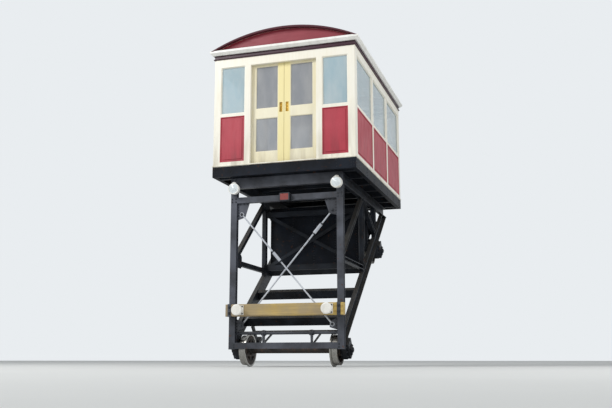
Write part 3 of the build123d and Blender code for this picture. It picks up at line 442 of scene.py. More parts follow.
finishes = {
    "creamPaint": ["lower_end_wall", "upper_end_wall", "right_side_wall", "left_side_wall"],
    "doorPaint": ["lower_door_right", "lower_door_left", "upper_door_right", "upper_door_left"],
    "maroonPaint": ["wall_panels"],
    "friezeMaroonAndShade": ["frieze"],
    "archMaroonAndShade": ["arch_boards"],
    "whitePaint": ["cornice", "marker_lamps", "roof_hoops"],
    "bufferPaint": ["buffers"],
    "frameSteel": ["floor_bearers", "door_guides", "door_tracks", "solebars", "right_truss",
                   "left_truss", "middle_frame", "cross_members", "axle_boxes", "rail_brakes",
                   "rope_hitch", "tail_lamp"],
    "frontSteelPaintedLight": ["front_frame", "brake_shaft"],
    "rodSteelPaintedHighlight": ["front_tie_rods"],
    # the floor frame takes the tank's darker black as painted shade under the cabin
    "tankSteelPaintedShade": ["ballast_tank", "floor_frame"],
    "sideGlass": ["window_panes"],
    "doorGlass": ["lower_door_glass_right", "lower_door_glass_left",
                  "upper_door_glass_right", "upper_door_glass_left"],
    "benchWood": ["bench_slats", "bench_supports"],
    "beamWood": ["buffer_beam"],
    "plankWood": ["floor_boards"],
    "roofFelt": ["roof"],
    "whiteLens": ["marker_lenses"],
    "redLens": ["tail_lens"],
    "lower_wheelset": ["lower_wheelset"],
    "upper_wheelset": ["upper_wheelset"],
}
for finish, nodeNames in finishes.items():
    for nodeName in nodeNames:
        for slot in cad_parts[nodeName].material_slots:
            slot.link = "OBJECT"
            slot.material = materials[finish]
print("materials on", sum(len(names) for names in finishes.values()), "nodes")


def vec(*values):
    return Vector(values)


def newObject(name, data):
    made = bpy.data.objects.new(name, data)
    bpy.context.collection.objects.link(made)
    return made


# plain mesh pieces are built up in one bmesh and then ride on their body
def placePiece(bm, name, finish, body, smooth=False, sharpFrom=38):
    bmesh.ops.recalc_face_normals(bm, faces=bm.faces)
    mesh = bpy.data.meshes.new(name)
    bm.to_mesh(mesh)
    bm.free()
    mesh.materials.append(materials[finish])
    if smooth:
        mesh.shade_smooth()
        mesh.set_sharp_from_angle(angle=math.radians(sharpFrom))
    piece = newObject(name, mesh)
    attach(piece, body)
    return piece


# faces between rows of vertices, which close on themselves or end in caps
def skin(bm, rows, closed):
    if not closed:
        bm.faces.new(rows[0])
        bm.faces.new(rows[-1])
    for first, second in zip(rows, rows[1:] + rows[:1] if closed else rows[1:]):
        for step in range(len(first)):
            after = (step + 1) % len(first)
            bm.faces.new((first[step], first[after], second[after], second[step]))


# moulding of one section round a rectangle, with the section as (inset, rise) points
def mouldingRing(bm, centre, facing, width, height, section):
    facing = Vector(facing)
    across = vec(1, 0, 0) if abs(facing.z) > 0.5 else vec(0, 0, 1).cross(facing)
    upward = facing.cross(across)
    rows = []
    for inset, rise in section:
        side, top = width / 2 - inset, height / 2 - inset
        rows.append([bm.verts.new(Vector(centre) + across * side * a + upward * top * b
                                  + facing * rise) for a, b in ((-1, -1), (1, -1), (1, 1), (-1, 1))])
    skin(bm, rows, True)


# section that hugs the rebate: flat foot, rounded top
def quarterRound(width, rise):
    return [(0, 0), (width, 0), (width, 0.3 * rise), (0.8 * width, 0.7 * rise),
            (0.45 * width, 0.94 * rise), (0, rise)]


# half round section that stands out from a face all round
def halfRound(width, rise, steps=6):
    turns = [math.pi * step / steps for step in range(steps + 1)]
    return [(-rise * math.sin(turn), width * (1 - math.cos(turn)) / 2) for turn in turns]


# solid of revolution from (distance, radius) points along an axis; a ring closes on itself
def turned(bm, centre, axis, profile, segments, ring=False):
    axis = Vector(axis).normalized()
    side = axis.orthogonal().normalized()
    other = axis.cross(side)
    turns = [math.tau * step / segments for step in range(segments)]
    skin(bm, [[bm.verts.new(Vector(centre) + axis * distance
                            + (side * math.cos(turn) + other * math.sin(turn)) * radius)
               for turn in turns] for distance, radius in profile], ring)


# one smooth piece from turned parts, each as its centre, axis and profile
def turnedPiece(name, finish, body, parts, segments, ring=True):
    bm = bmesh.new()
    for centre, axis, profile in parts:
        turned(bm, centre, axis, profile, segments, ring)
    return placePiece(bm, name, finish, body, smooth=True)


# block with softened edges between two opposite corners
def softBlock(bm, corner, opposite, edge):
    low, high = vec(*map(min, corner, opposite)), vec(*map(max, corner, opposite))
    matrix = Matrix.Translation((low + high) / 2) @ Matrix.Diagonal((*(high - low), 1))
    made = bmesh.ops.create_cube(bm, size=1, matrix=matrix)
    edges = list(dict.fromkeys(e for vert in made["verts"] for e in vert.link_edges))
    bmesh.ops.bevel(bm, geom=edges, offset=edge, segments=2, affect="EDGES", profile=0.5)


# beads inside and outside every window and panel
windows = {"low": 3.270, "high": 4.130, "faceOut": 0.025, "faceIn": 0.031,
           "bead": quarterRound(0.016, 0.016)}
panels = {"low": 2.410, "high": 3.220, "faceOut": 0.015, "faceIn": 0.037,
          "bead": quarterRound(0.018, 0.013)}
bays = [
    # facing, distance of the wall face, places along the wall, width
    ((0, -1, 0), endFace, (-0.925, 0.925), 0.45),
    ((0, 1, 0), endFace, (-0.925, 0.925), 0.45),
    ((1, 0, 0), sideFace, (-1.2333, 0, 1.2333), 1.1333),
    ((-1, 0, 0), sideFace, (-1.2333, 0, 1.2333), 1.1333),
]


def bayBeads(name, finish, sheet):
    bm = bmesh.new()
    height, middle = sheet["high"] - sheet["low"], (sheet["low"] + sheet["high"]) / 2
    for facing, distance, places, width in bays:
        facing = Vector(facing)
        along = vec(0, 0, 1).cross(facing)
        for place in places:
            for depth, way in ((sheet["faceOut"], 1), (sheet["faceIn"], -1)):
                centre = along * place + vec(0, 0, middle) + facing * (distance - depth)
                mouldingRing(bm, centre, facing * way, width, height, sheet["bead"])
    placePiece(bm, name, finish, "car")


bayBeads("windowBeads", "creamPaint", windows)
bayBeads("panelBeads", "maroonPaint", panels)

# doors: glazing beads, brass finger pulls with screws, which ride on each leaf
doors = {"paneMiddle": 0.315, "paneWidth": 0.41, "panes": ((2.56, 3.16), (3.33, 4.10)),
         "glassOut": 1.847, "glassIn": 1.841, "bead": quarterRound(0.012, 0.013), "faceOut": 1.862}
pull = {"place": 0.0565, "middle": 3.33, "width": 0.04, "height": 0.16, "depth": 0.012,
        "plate": 0.0015, "plateEdge": 0.0004, "screwShift": 0.06,
        "screw": [(0, 0.0035), (0.0008, 0.0035), (0.0014, 0.0016)], "screwSegments": 12,
        "rim": [(-0.007, 0), (-0.0056, 0.0012), (-0.001, 0.0012), (0.0008, 0.0002), (0.0022, -0.0105),
                (0, -0.012)]}
leaves = {
    # short name, side of the door, end of the car
    "lower_door_right": ("lowerRight", 1, -1), "lower_door_left": ("lowerLeft", -1, -1),
    "upper_door_right": ("upperRight", 1, 1), "upper_door_left": ("upperLeft", -1, 1),
}
for leaf, (shortName, side, end) in leaves.items():
    facing = vec(0, end, 0)
    bm = bmesh.new()
    for low, high in doors["panes"]:
        for depth, way in ((doors["glassOut"], 1), (doors["glassIn"], -1)):
            centre = vec(side * doors["paneMiddle"], end * depth, (low + high) / 2)
            mouldingRing(bm, centre, facing * way, doors["paneWidth"], high - low, doors["bead"])
    placePiece(bm, "doorBeads." + shortName, "doorPaint", leaf)

    bm = bmesh.new()
    centre = vec(side * pull["place"], end * doors["faceOut"], pull["middle"])
    mouldingRing(bm, centre, facing, pull["width"], pull["height"], pull["rim"])
    recess = centre - facing * pull["depth"]
    plate = recess + facing * pull["plate"]
    half = vec(pull["width"] / 2, 0, pull["height"] / 2)
    softBlock(bm, recess - half, plate + half, pull["plateEdge"])
    for way in (-1, 1):
        turned(bm, plate + vec(0, 0, way * pull["screwShift"]), facing, pull["screw"],
               pull["screwSegments"])
    placePiece(bm, "fingerPull." + shortName, "brass", leaf)
print("beads and pulls")

# mouldings round the car: sill, top of the walls, under the cornice, foot of the roof
mouldings = [
    # name, finish, height, half width, half length, section
    ("sillMoulding", "creamPaint", sill + 0.004, sideFace, endFace, halfRound(0.022, 0.012)),
    # the top of the walls in the same near black, which widens the painted shade under the cornice
    ("wallTopMoulding", "friezeMaroonAndShade", wallHigh.z - 0.012, sideFace, endFace,
     halfRound(0.026, 0.018)),
    ("friezeMoulding", "friezeMaroonAndShade", wallHigh.z + 0.052, sideFace, endFace,
     halfRound(0.016, 0.011)),
    ("roofFillet", "whitePaint", roofLow.z, roofHigh.x, roofHigh.y - 0.0135,
     [(0, 0), (-0.013, 0), (-0.012, 0.007), (-0.006, 0.013), (0, 0.014)]),
]
for name, finish, height, halfWidth, halfLength, section in mouldings:
    bm = bmesh.new()
    mouldingRing(bm, (0, 0, height), (0, 0, 1), 2 * halfWidth, 2 * halfLength, section)
    placePiece(bm, name, finish, "car", smooth=True)

# lamps: bezels, vents, ribbed lenses in place of the plain ones
lamp = {"place": 0.915, "height": 1.95, "face": 1.85, "radius": 0.095, "segments": 40,
        "bezel": [(-0.006, 0.094), (-0.006, 0.098), (0.004, 0.098), (0.009, 0.095), (0.011, 0.088),
                  (0.009, 0.083), (0, 0.0825)],
        "ventPlace": 1.8185, "ventSink": 0.004, "ventSegments": 24,
        "vent": [(0, 0.024), (0.012, 0.024), (0.012, 0.034), (0.017, 0.036), (0.024, 0.03),
                 (0.03, 0.012)],
        "lens": 0.082, "lensProud": 0.013, "ribs": 5, "rimShare": 0.55, "eye": 0.004,
        # share of the rise, share of the way to the next ring, shift
        "ribSection": [(0.62, 0, -0.0006), (0.9, 0.3, 0), (1, 1, 0.001)]}
front = vec(0, -1, 0)


# dome of rings that step inwards, each with a steep outer face and a gentle inner one
def lensProfile():
    profile = [(0, lamp["lens"])]
    for rib in range(lamp["ribs"]):
        step = lamp["lens"] / (lamp["ribs"] + 1)
        outer = lamp["lens"] - rib * step
        share = lamp["rimShare"] + (1 - lamp["rimShare"]) * (rib + 1) / lamp["ribs"]
        profile += [(lamp["lensProud"] * share * up, outer - step * way + shift)
                    for up, way, shift in lamp["ribSection"]]
    return profile + [(lamp["lensProud"], lamp["eye"])]


bmBezel, lenses = bmesh.new(), []
for side in (-1, 1):
    centre = vec(side * lamp["place"], -lamp["face"], lamp["height"])
    turned(bmBezel, centre, front, lamp["bezel"], lamp["segments"], ring=True)
    top = vec(centre.x, -lamp["ventPlace"], centre.z + lamp["radius"] - lamp["ventSink"])
    turned(bmBezel, top, (0, 0, 1), lamp["vent"], lamp["ventSegments"])
    lenses.append((centre, front, lensProfile()))
placePiece(bmBezel, "lampBezels", "whitePaint", "car", smooth=True)
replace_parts(turnedPiece("ribbedLenses", "whiteLens", "car", lenses, lamp["segments"], ring=False),
            "marker_lenses")

tail = {"height": 1.76, "face": 1.825, "lensProud": 0.008, "back": 0.019, "halfWidth": 0.073,
        "halfHeight": 0.053, "ribs": 12, "ribDepth": 0.003,
        "bezel": [(-0.0008, -0.001), (-0.014, -0.001), (-0.014, 0.0042), (-0.0098, 0.007),
                  (-0.0042, 0.007), (-0.0008, 0.0049)]}
bm = bmesh.new()
back = tail["back"] - tail["face"]
low, high = tail["height"] - tail["halfHeight"], tail["height"] + tail["halfHeight"]
columns = []
for step in range(2 * tail["ribs"] + 1):
    x = tail["halfWidth"] * (step / tail["ribs"] - 1)
    depth = -tail["face"] - tail["lensProud"] + (0 if step % 2 else tail["ribDepth"])
    outline = ((depth, low), (depth, high), (back, high), (back, low))
    columns.append([bm.verts.new((x, y, z)) for y, z in outline])
skin(bm, columns, False)
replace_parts(placePiece(bm, "ribbedTailLens", "redLens", "car"), "tail_lens")
bm = bmesh.new()
mouldingRing(bm, (0, -tail["face"], tail["height"]), front, 2 * tail["halfWidth"],
             2 * tail["halfHeight"], tail["bezel"])
placePiece(bm, "tailBezel", "boltSteel", "car")
print("mouldings and lamps")

# turned fittings: axle box caps, buffer collars, collars on the brake shaft and the axles
cap = {"face": 1.048, "segments": 28,
       "profile": [(-0.001, 0.052), (0.004, 0.052), (0.006, 0.046), (0.0176, 0.04324),
                   (0.022, 0.0322), (0.022, 0.016), (0.029, 0.014), (0.029, 0.006)]}
turnedPiece("axleBoxCaps", "frameSteel", "car", [
    ((side * cap["face"], *centre), (side, 0, 0), cap["profile"])
    for side in (-1, 1) for centre in wheelCentres.values()], cap["segments"], ring=False)

buffer = {"place": 0.770, "height": -0.1305, "plate": 1.879, "boltShift": 0.06, "segments": 36,
          "foot": [(-0.001, 0.044), (-0.001, 0.06), (0.012, 0.06), (0.018, 0.056), (0.026, 0.048),
                   (0.026, 0.044)],
          "neckPlace": 0.078, "neck": [(0, 0.044), (0, 0.049), (0.018, 0.06), (0.018, 0.044)]}
bufferSeats = [vec(side * buffer["place"], -buffer["plate"], buffer["height"]) for side in (-1, 1)]
turnedPiece("bufferCollars", "bufferPaint", "car", [
    part for seat in bufferSeats for part in (
        (seat, front, buffer["foot"]), (seat + front * buffer["neckPlace"], front, buffer["neck"]))],
    buffer["segments"])

shaft = {"y": -1.62, "z": -0.5005, "places": (0.447, 0.392, 0.878), "segments": 24,
         "collar": [(-0.012, 0.027), (-0.012, 0.041), (-0.009, 0.044), (0.009, 0.044), (0.012, 0.041),
                    (0.012, 0.027)]}
turnedPiece("shaftCollars", "frontSteelPaintedLight", "car", [
    ((side * place, shaft["y"], shaft["z"]), (side, 0, 0), shaft["collar"])
    for side in (-1, 1) for place in shaft["places"]], shaft["segments"])

axle = {"collar": [(0.690, 0.054), (0.698, 0.07), (0.727, 0.076), (0.729, 0.054)], "segments": 28}
for name, centre in wheelCentres.items():
    turnedPiece("axleCollars." + name.split("_")[0], name, name, [
        ((0, *centre), (side, 0, 0), axle["collar"]) for side in (-1, 1)], axle["segments"])

# steel straps round the timber beam, in front of the posts
strap = {"place": 0.945, "halfWidth": 0.03, "thickness": 0.006, "bite": 0.001, "edge": 0.0015,
         "boltHeights": (-0.18, -0.08)}
strapFace = beamLow.y - strap["thickness"]
bm = bmesh.new()
for side in (-1, 1):
    left, right = (side * strap["place"] + way * strap["halfWidth"] for way in (-1, 1))
    softBlock(bm, (left, strapFace, beamLow.z - strap["thickness"]),
              (right, beamLow.y + strap["bite"], beamHigh.z + strap["thickness"]), strap["edge"])
    for low in (beamLow.z - strap["thickness"], beamHigh.z - strap["bite"]):
        softBlock(bm, (left, beamLow.y - strap["bite"], low),
                  (right, beamHigh.y, low + strap["thickness"] + strap["bite"]), strap["edge"])
placePiece(bm, "beamStraps", "frontSteelPaintedLight", "car")
print("turned fittings and straps")


# node tree with named inputs, set by socket identifier before it is first evaluated
def newTree(name, sockets):
    tree = bpy.data.node_groups.new(name, "GeometryNodeTree")
    tree.interface.new_socket("Geometry", in_out="INPUT", socket_type="NodeSocketGeometry")
    for label, kind in sockets:
        tree.interface.new_socket(label, in_out="INPUT", socket_type=kind)
    tree.interface.new_socket("Geometry", in_out="OUTPUT", socket_type="NodeSocketGeometry")
    return tree, tree.nodes.new("NodeGroupInput"), tree.nodes.new("NodeGroupOutput")


# value that the points carry
def carried(tree, name, kind):
    attribute = addNode(tree, "GeometryNodeInputNamedAttribute", {"Name": name}, data_type=kind)
    return attribute.outputs[0]


# turns instances to the facing that the points carry
def facingRotation(tree):
    return addNode(tree, "FunctionNodeAlignRotationToVector",
                   {"Vector": carried(tree, "facing", "FLOAT_VECTOR")}, axis="Z").outputs[0]


# puts the head on the points, makes it real and gives it the tree's material
def finishTree(tree, start, end, points, head, rotation, smooth):
    placed = addNode(tree, "GeometryNodeInstanceOnPoints", {
        "Points": points, "Instance": head, "Rotation": rotation,
        "Scale": carried(tree, "size", "FLOAT")})
    real = addNode(tree, "GeometryNodeRealizeInstances", {"Geometry": placed.outputs[0]})
    shaded = addNode(tree, "GeometryNodeSetShadeSmooth", {
        "Geometry": real.outputs[0], "Shade Smooth": smooth})
    coated = addNode(tree, "GeometryNodeSetMaterial", {
        "Geometry": shaded.outputs[0], "Material": start.outputs["Finish"]})
    tree.links.new(coated.outputs[0], end.inputs["Geometry"])
    return tree


# rivet heads at even steps along loose edges
def rivetTree():
    tree, start, end = newTree("rivetRows", [
        ("Spacing", "NodeSocketFloat"), ("Rise", "NodeSocketFloat"),
        ("Finish", "NodeSocketMaterial")])
    curve = addNode(tree, "GeometryNodeMeshToCurve", {"Mesh": start.outputs["Geometry"]})
    rows = addNode(tree, "GeometryNodeResampleCurve",
                   {"Curve": curve.outputs[0], "Length": start.outputs["Spacing"]}, mode="LENGTH")
    head = addNode(tree, "GeometryNodeMeshUVSphere", {"Segments": 8, "Rings": 4, "Radius": 1})
    squash = addNode(tree, "ShaderNodeCombineXYZ", {"X": 1, "Y": 1, "Z": start.outputs["Rise"]})
    dome = addNode(tree, "GeometryNodeTransform", {
        "Geometry": head.outputs["Mesh"], "Scale": squash.outputs[0]})
    return finishTree(tree, start, end, rows.outputs[0], dome.outputs[0], facingRotation(tree), True)


# washer, head and shank end at every loose point, each turned at random about its axis
def boltTree():
    tree, start, end = newTree("boltHeads", [
        ("Sides", "NodeSocketInt"), ("Seed", "NodeSocketInt"), ("Finish", "NodeSocketMaterial")])
    joined = addNode(tree, "GeometryNodeJoinGeometry")
    discs = [
        # sides, radius, depth, height of the middle
        (12, 1.3, 0.24, 0.1), (start.outputs["Sides"], 1, 0.85, 0.62), (8, 0.5, 0.34, 1.2)]
    for sides, radius, depth, lift in discs:
        rod = addNode(tree, "GeometryNodeMeshCylinder", {
            "Vertices": sides, "Radius": radius, "Depth": depth})
        part = addNode(tree, "GeometryNodeTransform", {
            "Geometry": rod.outputs["Mesh"], "Translation": (0, 0, lift)})
        tree.links.new(part.outputs[0], joined.inputs[0])
    turn = addNode(tree, "FunctionNodeRandomValue", {3: math.tau, "Seed": start.outputs["Seed"]},
                   data_type="FLOAT")
    about = addNode(tree, "FunctionNodeAxisAngleToRotation", {
        "Axis": (0, 0, 1), "Angle": turn.outputs[1]})
    rotation = addNode(tree, "FunctionNodeRotateRotation", {
        "Rotation": facingRotation(tree), "Rotate By": about.outputs[0]}, rotation_space="LOCAL")
    return finishTree(tree, start, end, start.outputs["Geometry"], joined.outputs[0],
                      rotation.outputs[0], False)


# runs a tree over loose points or edges and keeps its result as a plain mesh
def realised(name, tree, values, body, points, edges):
    mesh = bpy.data.meshes.new(name + "Points")
    mesh.from_pydata([place for place, _, _ in points], edges, [])
    facings = mesh.attributes.new("facing", "FLOAT_VECTOR", "POINT")
    facings.data.foreach_set("vector", [part for _, facing, _ in points for part in facing])
    sizes = mesh.attributes.new("size", "FLOAT", "POINT")
    sizes.data.foreach_set("value", [size for _, _, size in points])
    carrier = newObject(name + "Points", mesh)
    modifier = carrier.modifiers.new("repeat", "NODES")
    modifier.node_group = tree
    for item in tree.interface.items_tree:
        if item.name in values:
            modifier[item.identifier] = values[item.name]
    result = bpy.data.meshes.new_from_object(
        carrier.evaluated_get(bpy.context.evaluated_depsgraph_get()))
    bpy.data.objects.remove(carrier)
    for attribute in ("facing", "size"):
        if attribute in result.attributes:
            result.attributes.remove(result.attributes[attribute])
    result.name = name
    piece = newObject(name, result)
    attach(piece, body)
    print(name, len(result.polygons), "faces")


# the slope's directions in the side view, for rows that follow the solebars
def slopeAt(x, along, height):
    return vec(x, *slopePoint(along, height))


riveting = {"size": 0.010, "spacing": 0.046, "rise": 0.62}
rivetRows = []
boltPoints = []


def rivets(start, end, facing, size=riveting["size"]):
    rivetRows.append((Vector(start), Vector(end), Vector(facing), size))


def uprightRow(x, y, low, high, facing, size=riveting["size"]):
    rivets((x, y, low), (x, y, high), facing, size)


def levelRow(halfLength, y, height, facing):
    rivets((-halfLength, y, height), (halfLength, y, height), facing)


def bolt(place, facing, size):
    boltPoints.append((Vector(place), Vector(facing), size))


# tank: rows round its front, along its top and on its ribs
tank = {"front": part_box("ballast_tank")[0].y + 0.017, "back": 1.2996, "backTop": 1.85,
        "halfRow": 0.82,
        "columns": (-0.82, -0.41, 0, 0.41, 0.82), "columnGap": 0.07, "bottom": 0.755, "top": 1.855,
        "side": 0.8605, "sideRow": (-0.06, 1.26),
        "ribs": (0.15, 0.5, 0.85), "ribFace": 0.8805, "ribFoot": 0.62, "ribGap": 0.06}
for height in (tank["bottom"], tank["top"]):
    levelRow(tank["halfRow"], tank["front"], height, front)
low, high = tank["bottom"] + tank["columnGap"], tank["top"] - tank["columnGap"]
for place in tank["columns"]:
    uprightRow(place, tank["front"], low, high, front)
levelRow(tank["halfRow"], tank["back"], tank["backTop"], (0, 1, 0))
for side in (-1, 1):
    for rib in tank["ribs"]:
        low = slopeLine(rib, tank["ribFoot"]) + tank["ribGap"]
        uprightRow(side * tank["ribFace"], rib, low, tank["top"], (side, 0, 0))
    rivets(*((side * tank["side"], y, tank["top"]) for y in tank["sideRow"]), (side, 0, 0))

# trusses: two short rows at each end of every member, on both sides of the web
members = [
    # start y, start z, end y, end z, row offset, clear at the start, clear at the end
    (-0.2, 0.66, -0.2, 1.97, 0.024, 0.11, 0.08),
    (0.8, 1.436, 0.8, 1.97, 0.024, 0.08, 0.03),
    (-1.655, 0.70, -0.24, 0.70, 0.016, 0.09, 0.03),
    (-1.655, 0.76, -0.24, 1.97, 0.012, 0.10, 0.08),
    (-0.16, 1.97, 0.76, 1.496, 0.012, 0.08, 0.08),
]
web = {"outer": 0.9175, "inner": 0.9075, "rowLength": 0.09, "rivet": 0.009}
for startY, startZ, endY, endZ, offset, clearStart, clearEnd in members:
    run = vec(0, endY - startY, endZ - startZ)
    length = run.length
    run.normalize()
    across = vec(0, -run.z, run.y)
    for side in (-1, 1):
        for first in (clearStart, length - clearEnd - web["rowLength"]):
            for shift in (-offset, offset):
                for face, way in ((web["outer"], side), (web["inner"], -side)):
                    foot = vec(side * face, startY, startZ) + run * first + across * shift
                    rivets(foot, foot + run * web["rowLength"], (way, 0, 0), web["rivet"])

# solebars: two rows where each cross member meets them, bolts on the axle guides and box covers
undergear = {"members": [-1.1503 + 0.8125 * step for step in range(5)], "rowShifts": (-0.025, 0.025),
             "rowLow": 0.475, "rowHigh": 0.605, "guideFace": 0.9825, "guideShifts": (-0.110, 0.110),
             "guideHeights": (0.20, 0.29, 0.38), "guideBolt": 0.012,
             "coverShift": 0.05, "coverBolt": 0.009}
corners = [(a, b) for a in (-1, 1) for b in (-1, 1)]
for side in (-1, 1):
    for along in undergear["members"]:
        for shift in undergear["rowShifts"]:
            rivets(slopeAt(side * web["outer"], along + shift, undergear["rowLow"]),
                   slopeAt(side * web["outer"], along + shift, undergear["rowHigh"]), (side, 0, 0))
    for along in (-axleAlong, axleAlong):
        for shift in undergear["guideShifts"]:
            for height in undergear["guideHeights"]:
                bolt(slopeAt(side * undergear["guideFace"], along + shift, height), (side, 0, 0),
                     undergear["guideBolt"])
        for a, b in corners:
            bolt(slopeAt(side * cap["face"], along + a * undergear["coverShift"],
                         slope["axleHeight"] + b * undergear["coverShift"]), (side, 0, 0),
                 undergear["coverBolt"])

# floor rim: rows at the bearers' ends and at the corners
rim = {"rows": (2.19, 2.29), "bearers": [0.5667 * step for step in range(-3, 4)],
       "shifts": (-0.022, 0.022), "sidePlaces": (-1.89, -1.845, 1.845, 1.89),
       "endPlaces": (-1.24, -1.195, -0.945, 0.945, 1.195, 1.24), "rivet": 0.009}
for side in (-1, 1):
    sidePlaces = [place + shift for place in rim["bearers"] for shift in rim["shifts"]]
    for place in (*sidePlaces, *rim["sidePlaces"]):
        uprightRow(side * sideFace, place, *rim["rows"], (side, 0, 0), rim["rivet"])
    for place in rim["endPlaces"]:
        uprightRow(place, side * endFace, *rim["rows"], (0, side, 0), rim["rivet"])

# front frame: rows on the gussets, bolts at the joints, on the straps and on the buffers' plates
gusset = {"face": -1.706, "place": 0.868, "highRow": (1.45, 1.69), "lowRow": (-0.44, -0.29),
          "topRow": (0.70, 0.835), "top": 1.69}
posts = {"face": -1.745, "bolt": 0.012, "strapBolt": 0.018, "plateBolt": 0.010,
         "joints": ((0.91, 2.115), (0.98, 2.115), (0.91, 1.735), (0.98, 1.735), (0.91, 1.785),
                    (0.98, 1.785), (0.91, -0.735), (0.91, -0.686))}
for side, seat in zip((-1, 1), bufferSeats):
    uprightRow(side * gusset["place"], gusset["face"], *gusset["highRow"], front)
    rivets(*((side * x, gusset["face"], gusset["top"]) for x in gusset["topRow"]), front)
    uprightRow(side * gusset["place"], gusset["face"], *gusset["lowRow"], front)
    for place, height in posts["joints"]:
        bolt((side * place, posts["face"], height), front, posts["bolt"])
    for height in strap["boltHeights"]:
        bolt((side * strap["place"], strapFace, height), front, posts["strapBolt"])
    for a, b in corners:
        bolt(seat + vec(a, 0, b) * buffer["boltShift"], front, posts["plateBolt"])

# tie rods: a pin with its nut at each end, a lock nut at each end of the turnbuckle
rod = {"place": 0.8, "low": -0.3725, "high": 1.512, "pin": 0.021, "lockNut": 0.023,
       "buckleHalf": 0.095}
rods = [
    # low end side, y of the rod, turnbuckle place as a share, face of the head, face of the nut
    (1, -1.722, 0.60, -1.738, -1.694),
    (-1, -1.678, 0.84, -1.706, -1.662),
]
for lowSide, rodY, share, headFace, nutFace in rods:
    lowEnd = vec(lowSide * rod["place"], rodY, rod["low"])
    highEnd = vec(-lowSide * rod["place"], rodY, rod["high"])
    run = (highEnd - lowEnd).normalized()
    for end in (lowEnd, highEnd):
        bolt((end.x, headFace, end.z), front, rod["pin"])
        bolt((end.x, nutFace, end.z), (0, 1, 0), rod["pin"])
    buckle = lowEnd.lerp(highEnd, share)
    for way in (-1, 1):
        bolt(buckle + run * way * rod["buckleHalf"], run * way, rod["lockNut"])

# undergear: crank pins, brake hangers and rope hitch
brake = {"crankHeight": -0.6905, "crankPins": ((0.4443, 1), (0.408, -1)), "crankPin": 0.018,
         "hanger": 0.802, "hangerPinHeight": 0.30, "hangerPin": 0.022,
         "hangerBoltHeight": 0.42, "hangerShifts": (-0.025, 0.025), "hangerBolt": 0.011}
hitch = {"plate": 0.06, "height": 0.43, "shifts": (-0.06, 0, 0.06), "bolt": 0.012}
hangerAlong, hitchAlong = undergear["members"][0], undergear["members"][-1]
for side in (-1, 1):
    facing = (side, 0, 0)
    for place, way in brake["crankPins"]:
        bolt((side * place, shaft["y"], brake["crankHeight"]), (way * side, 0, 0), brake["crankPin"])
    x = side * brake["hanger"]
    bolt(slopeAt(x, hangerAlong, brake["hangerPinHeight"]), facing, brake["hangerPin"])
    for shift in brake["hangerShifts"]:
        seat = slopeAt(x, hangerAlong + shift, brake["hangerBoltHeight"])
        bolt(seat, facing, brake["hangerBolt"])
    for shift in hitch["shifts"]:
        seat = slopeAt(side * hitch["plate"], hitchAlong + shift, hitch["height"])
        bolt(seat, facing, hitch["bolt"])


# rows as loose edges, with what their points carry
def realisedRows(name, rows, spacing, rise, finish):
    points = [(place, facing, size) for start, end, facing, size in rows for place in (start, end)]
    edges = [(2 * row, 2 * row + 1) for row in range(len(rows))]
    realised(name, rowTree, {"Spacing": spacing, "Rise": rise, "Finish": materials[finish]},
             "car", points, edges)


headTree, rowTree = boltTree(), rivetTree()
realisedRows("frameRivets", rivetRows, riveting["spacing"], riveting["rise"], "frameSteel")
realised("frameBolts", headTree, {"Sides": 6, "Seed": 3, "Finish": materials["boltSteel"]},
         "car", boltPoints, [])

# benches: two screws through each slat at every support
bench = {"supports": (-1.6275, -0.5425, 0.5425, 1.6275),
         "slats": [0.8324 + 0.0788 * step for step in range(5)],
         "top": 2.81, "backFace": 1.152, "backHeights": (2.925, 2.969, 3.065, 3.109),
         "screw": 0.0055, "screwRise": 0.3, "screwShift": 0.012}
screwRows = []
for side in (-1, 1):
    for place in bench["supports"]:
        seats = [(side * slat, bench["top"], (0, 0, 1)) for slat in bench["slats"]]
        seats += [(side * bench["backFace"], height, (-side, 0, 0))
                  for height in bench["backHeights"]]
        near, far = place - bench["screwShift"], place + bench["screwShift"]
        screwRows += [(vec(x, near, z), vec(x, far, z), facing, bench["screw"])
                      for x, z, facing in seats]
realisedRows("benchScrews", screwRows, 2 * bench["screwShift"], bench["screwRise"], "brass")

# nuts on the door hangers and screws into the leaves' heads
hangers = {"places": (0.093, 0.545), "face": 1.835, "nutHeight": 4.2603, "nut": 0.009,
           "screwHeight": 4.222, "screw": 0.004, "screwShifts": (-0.014, 0.014)}
for leaf, (shortName, side, end) in leaves.items():
    points = []
    for place in hangers["places"]:
        seats = [(0, hangers["nutHeight"], hangers["nut"])]
        seats += [(shift, hangers["screwHeight"], hangers["screw"])
                  for shift in hangers["screwShifts"]]
        points += [(vec(side * place + shift, end * hangers["face"], height), (0, -end, 0), size)
                   for shift, height, size in seats]
    realised("hangerNuts." + shortName, headTree,
             {"Sides": 6, "Seed": 5, "Finish": materials["boltSteel"]}, leaf, points, [])
print("rivets and bolts")


# turns a camera or a lamp, which look along their own -Z, towards a point
def aimed(holder, place, aim):
    holder.location = place
    holder.rotation_euler = (Vector(aim) - Vector(place)).to_track_quat("-Z", "Y").to_euler()


# camera on the floor, in front and to the right, as the photograph looks up the slope
floorDrop = 0.002  # studio floor below the lowest point of the car
floorZ = cadBox[0].z - floorDrop
shot = {"place": (4.3, -14.3, floorZ + 0.12), "aim": (0.0, -0.6, 1.86), "lens": 47, "farEnd": 200}
camera = newObject("camera", bpy.data.cameras.new("camera"))
aimed(camera, shot["place"], shot["aim"])
camera.data.lens = shot["lens"]
camera.data.clip_end = shot["farEnd"]
bpy.context.scene.camera = camera

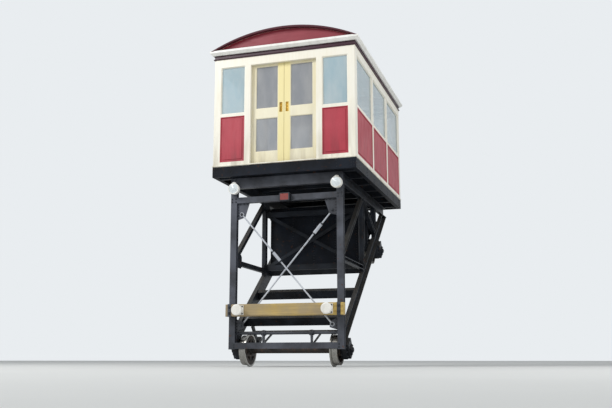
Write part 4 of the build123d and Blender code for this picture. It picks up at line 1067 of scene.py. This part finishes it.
# studio: soft key from the front left, weak fill from the right, pale floor and world
studio = {
    "keyPlace": (-10.5, -12.5, 12.5), "keySize": 6.0, "keyPower": 2080,
    "fillPlace": (11, -6, 5), "fillSize": 6.0, "fillPower": 430, "lampAim": (0, 0, 2),
    "worldColour": "#E9EDF0", "worldLight": 0.55,
    "floorColour": "#DCDDDB", "floorTone": ("#CFD0CE", 0.2), "floorRough": 0.8, "floorHalf": 60,
}
for kind in ("key", "fill"):
    light = bpy.data.lights.new(kind + "Lamp", "AREA")
    light.size = studio[kind + "Size"]
    light.energy = studio[kind + "Power"]
    aimed(newObject(kind + "Lamp", light), studio[kind + "Place"], studio["lampAim"])

# the world shows at full strength to camera, glossy and transmission rays, and lights with less
world = bpy.context.scene.world or bpy.data.worlds.new("studioWorld")
bpy.context.scene.world = world
world.use_nodes = True
tree = world.node_tree
rays = tree.nodes.new("ShaderNodeLightPath").outputs
seen = calculate(tree, "MAXIMUM", rays["Is Camera Ray"], rays["Is Glossy Ray"])
seenThrough = calculate(tree, "MAXIMUM", seen, rays["Is Transmission Ray"])
strength = mapRange(tree, seenThrough, 0, 1, studio["worldLight"], 1)
setInputs(tree, tree.nodes["Background"], {"Color": studio["worldColour"], "Strength": strength})

half = studio["floorHalf"]
outline = ((-half, -half), (half, -half), (half, half), (-half, half))
floorMesh = bpy.data.meshes.new("studioFloor")
floorMesh.from_pydata([(x, y, floorZ) for x, y in outline], [], [(0, 1, 2, 3)])
studioFloor = newObject("studioFloor", floorMesh)
material, tree, shader, coords = freshMaterial("studioFloor")
tone = noiseMask(tree, coords, noises["floor"])
colour = layered(tree, studio["floorColour"], (tone, studio["floorTone"]))
setInputs(tree, shader, {"Base Color": colour, "Roughness": studio["floorRough"]})
floorMesh.materials.append(material)
# seen from below the floor is clear, so that the underside can be looked at
clear = addNode(tree, "ShaderNodeBsdfTransparent")
backs = addNode(tree, "ShaderNodeNewGeometry").outputs["Backfacing"]
surface = addNode(tree, "ShaderNodeMixShader", {0: backs, 1: shader.outputs[0], 2: clear.outputs[0]})
setInputs(tree, tree.nodes["Material Output"], {"Surface": surface.outputs[0]})
bpy.context.scene.view_settings.view_transform = "Standard"
print("camera, lamps and floor")
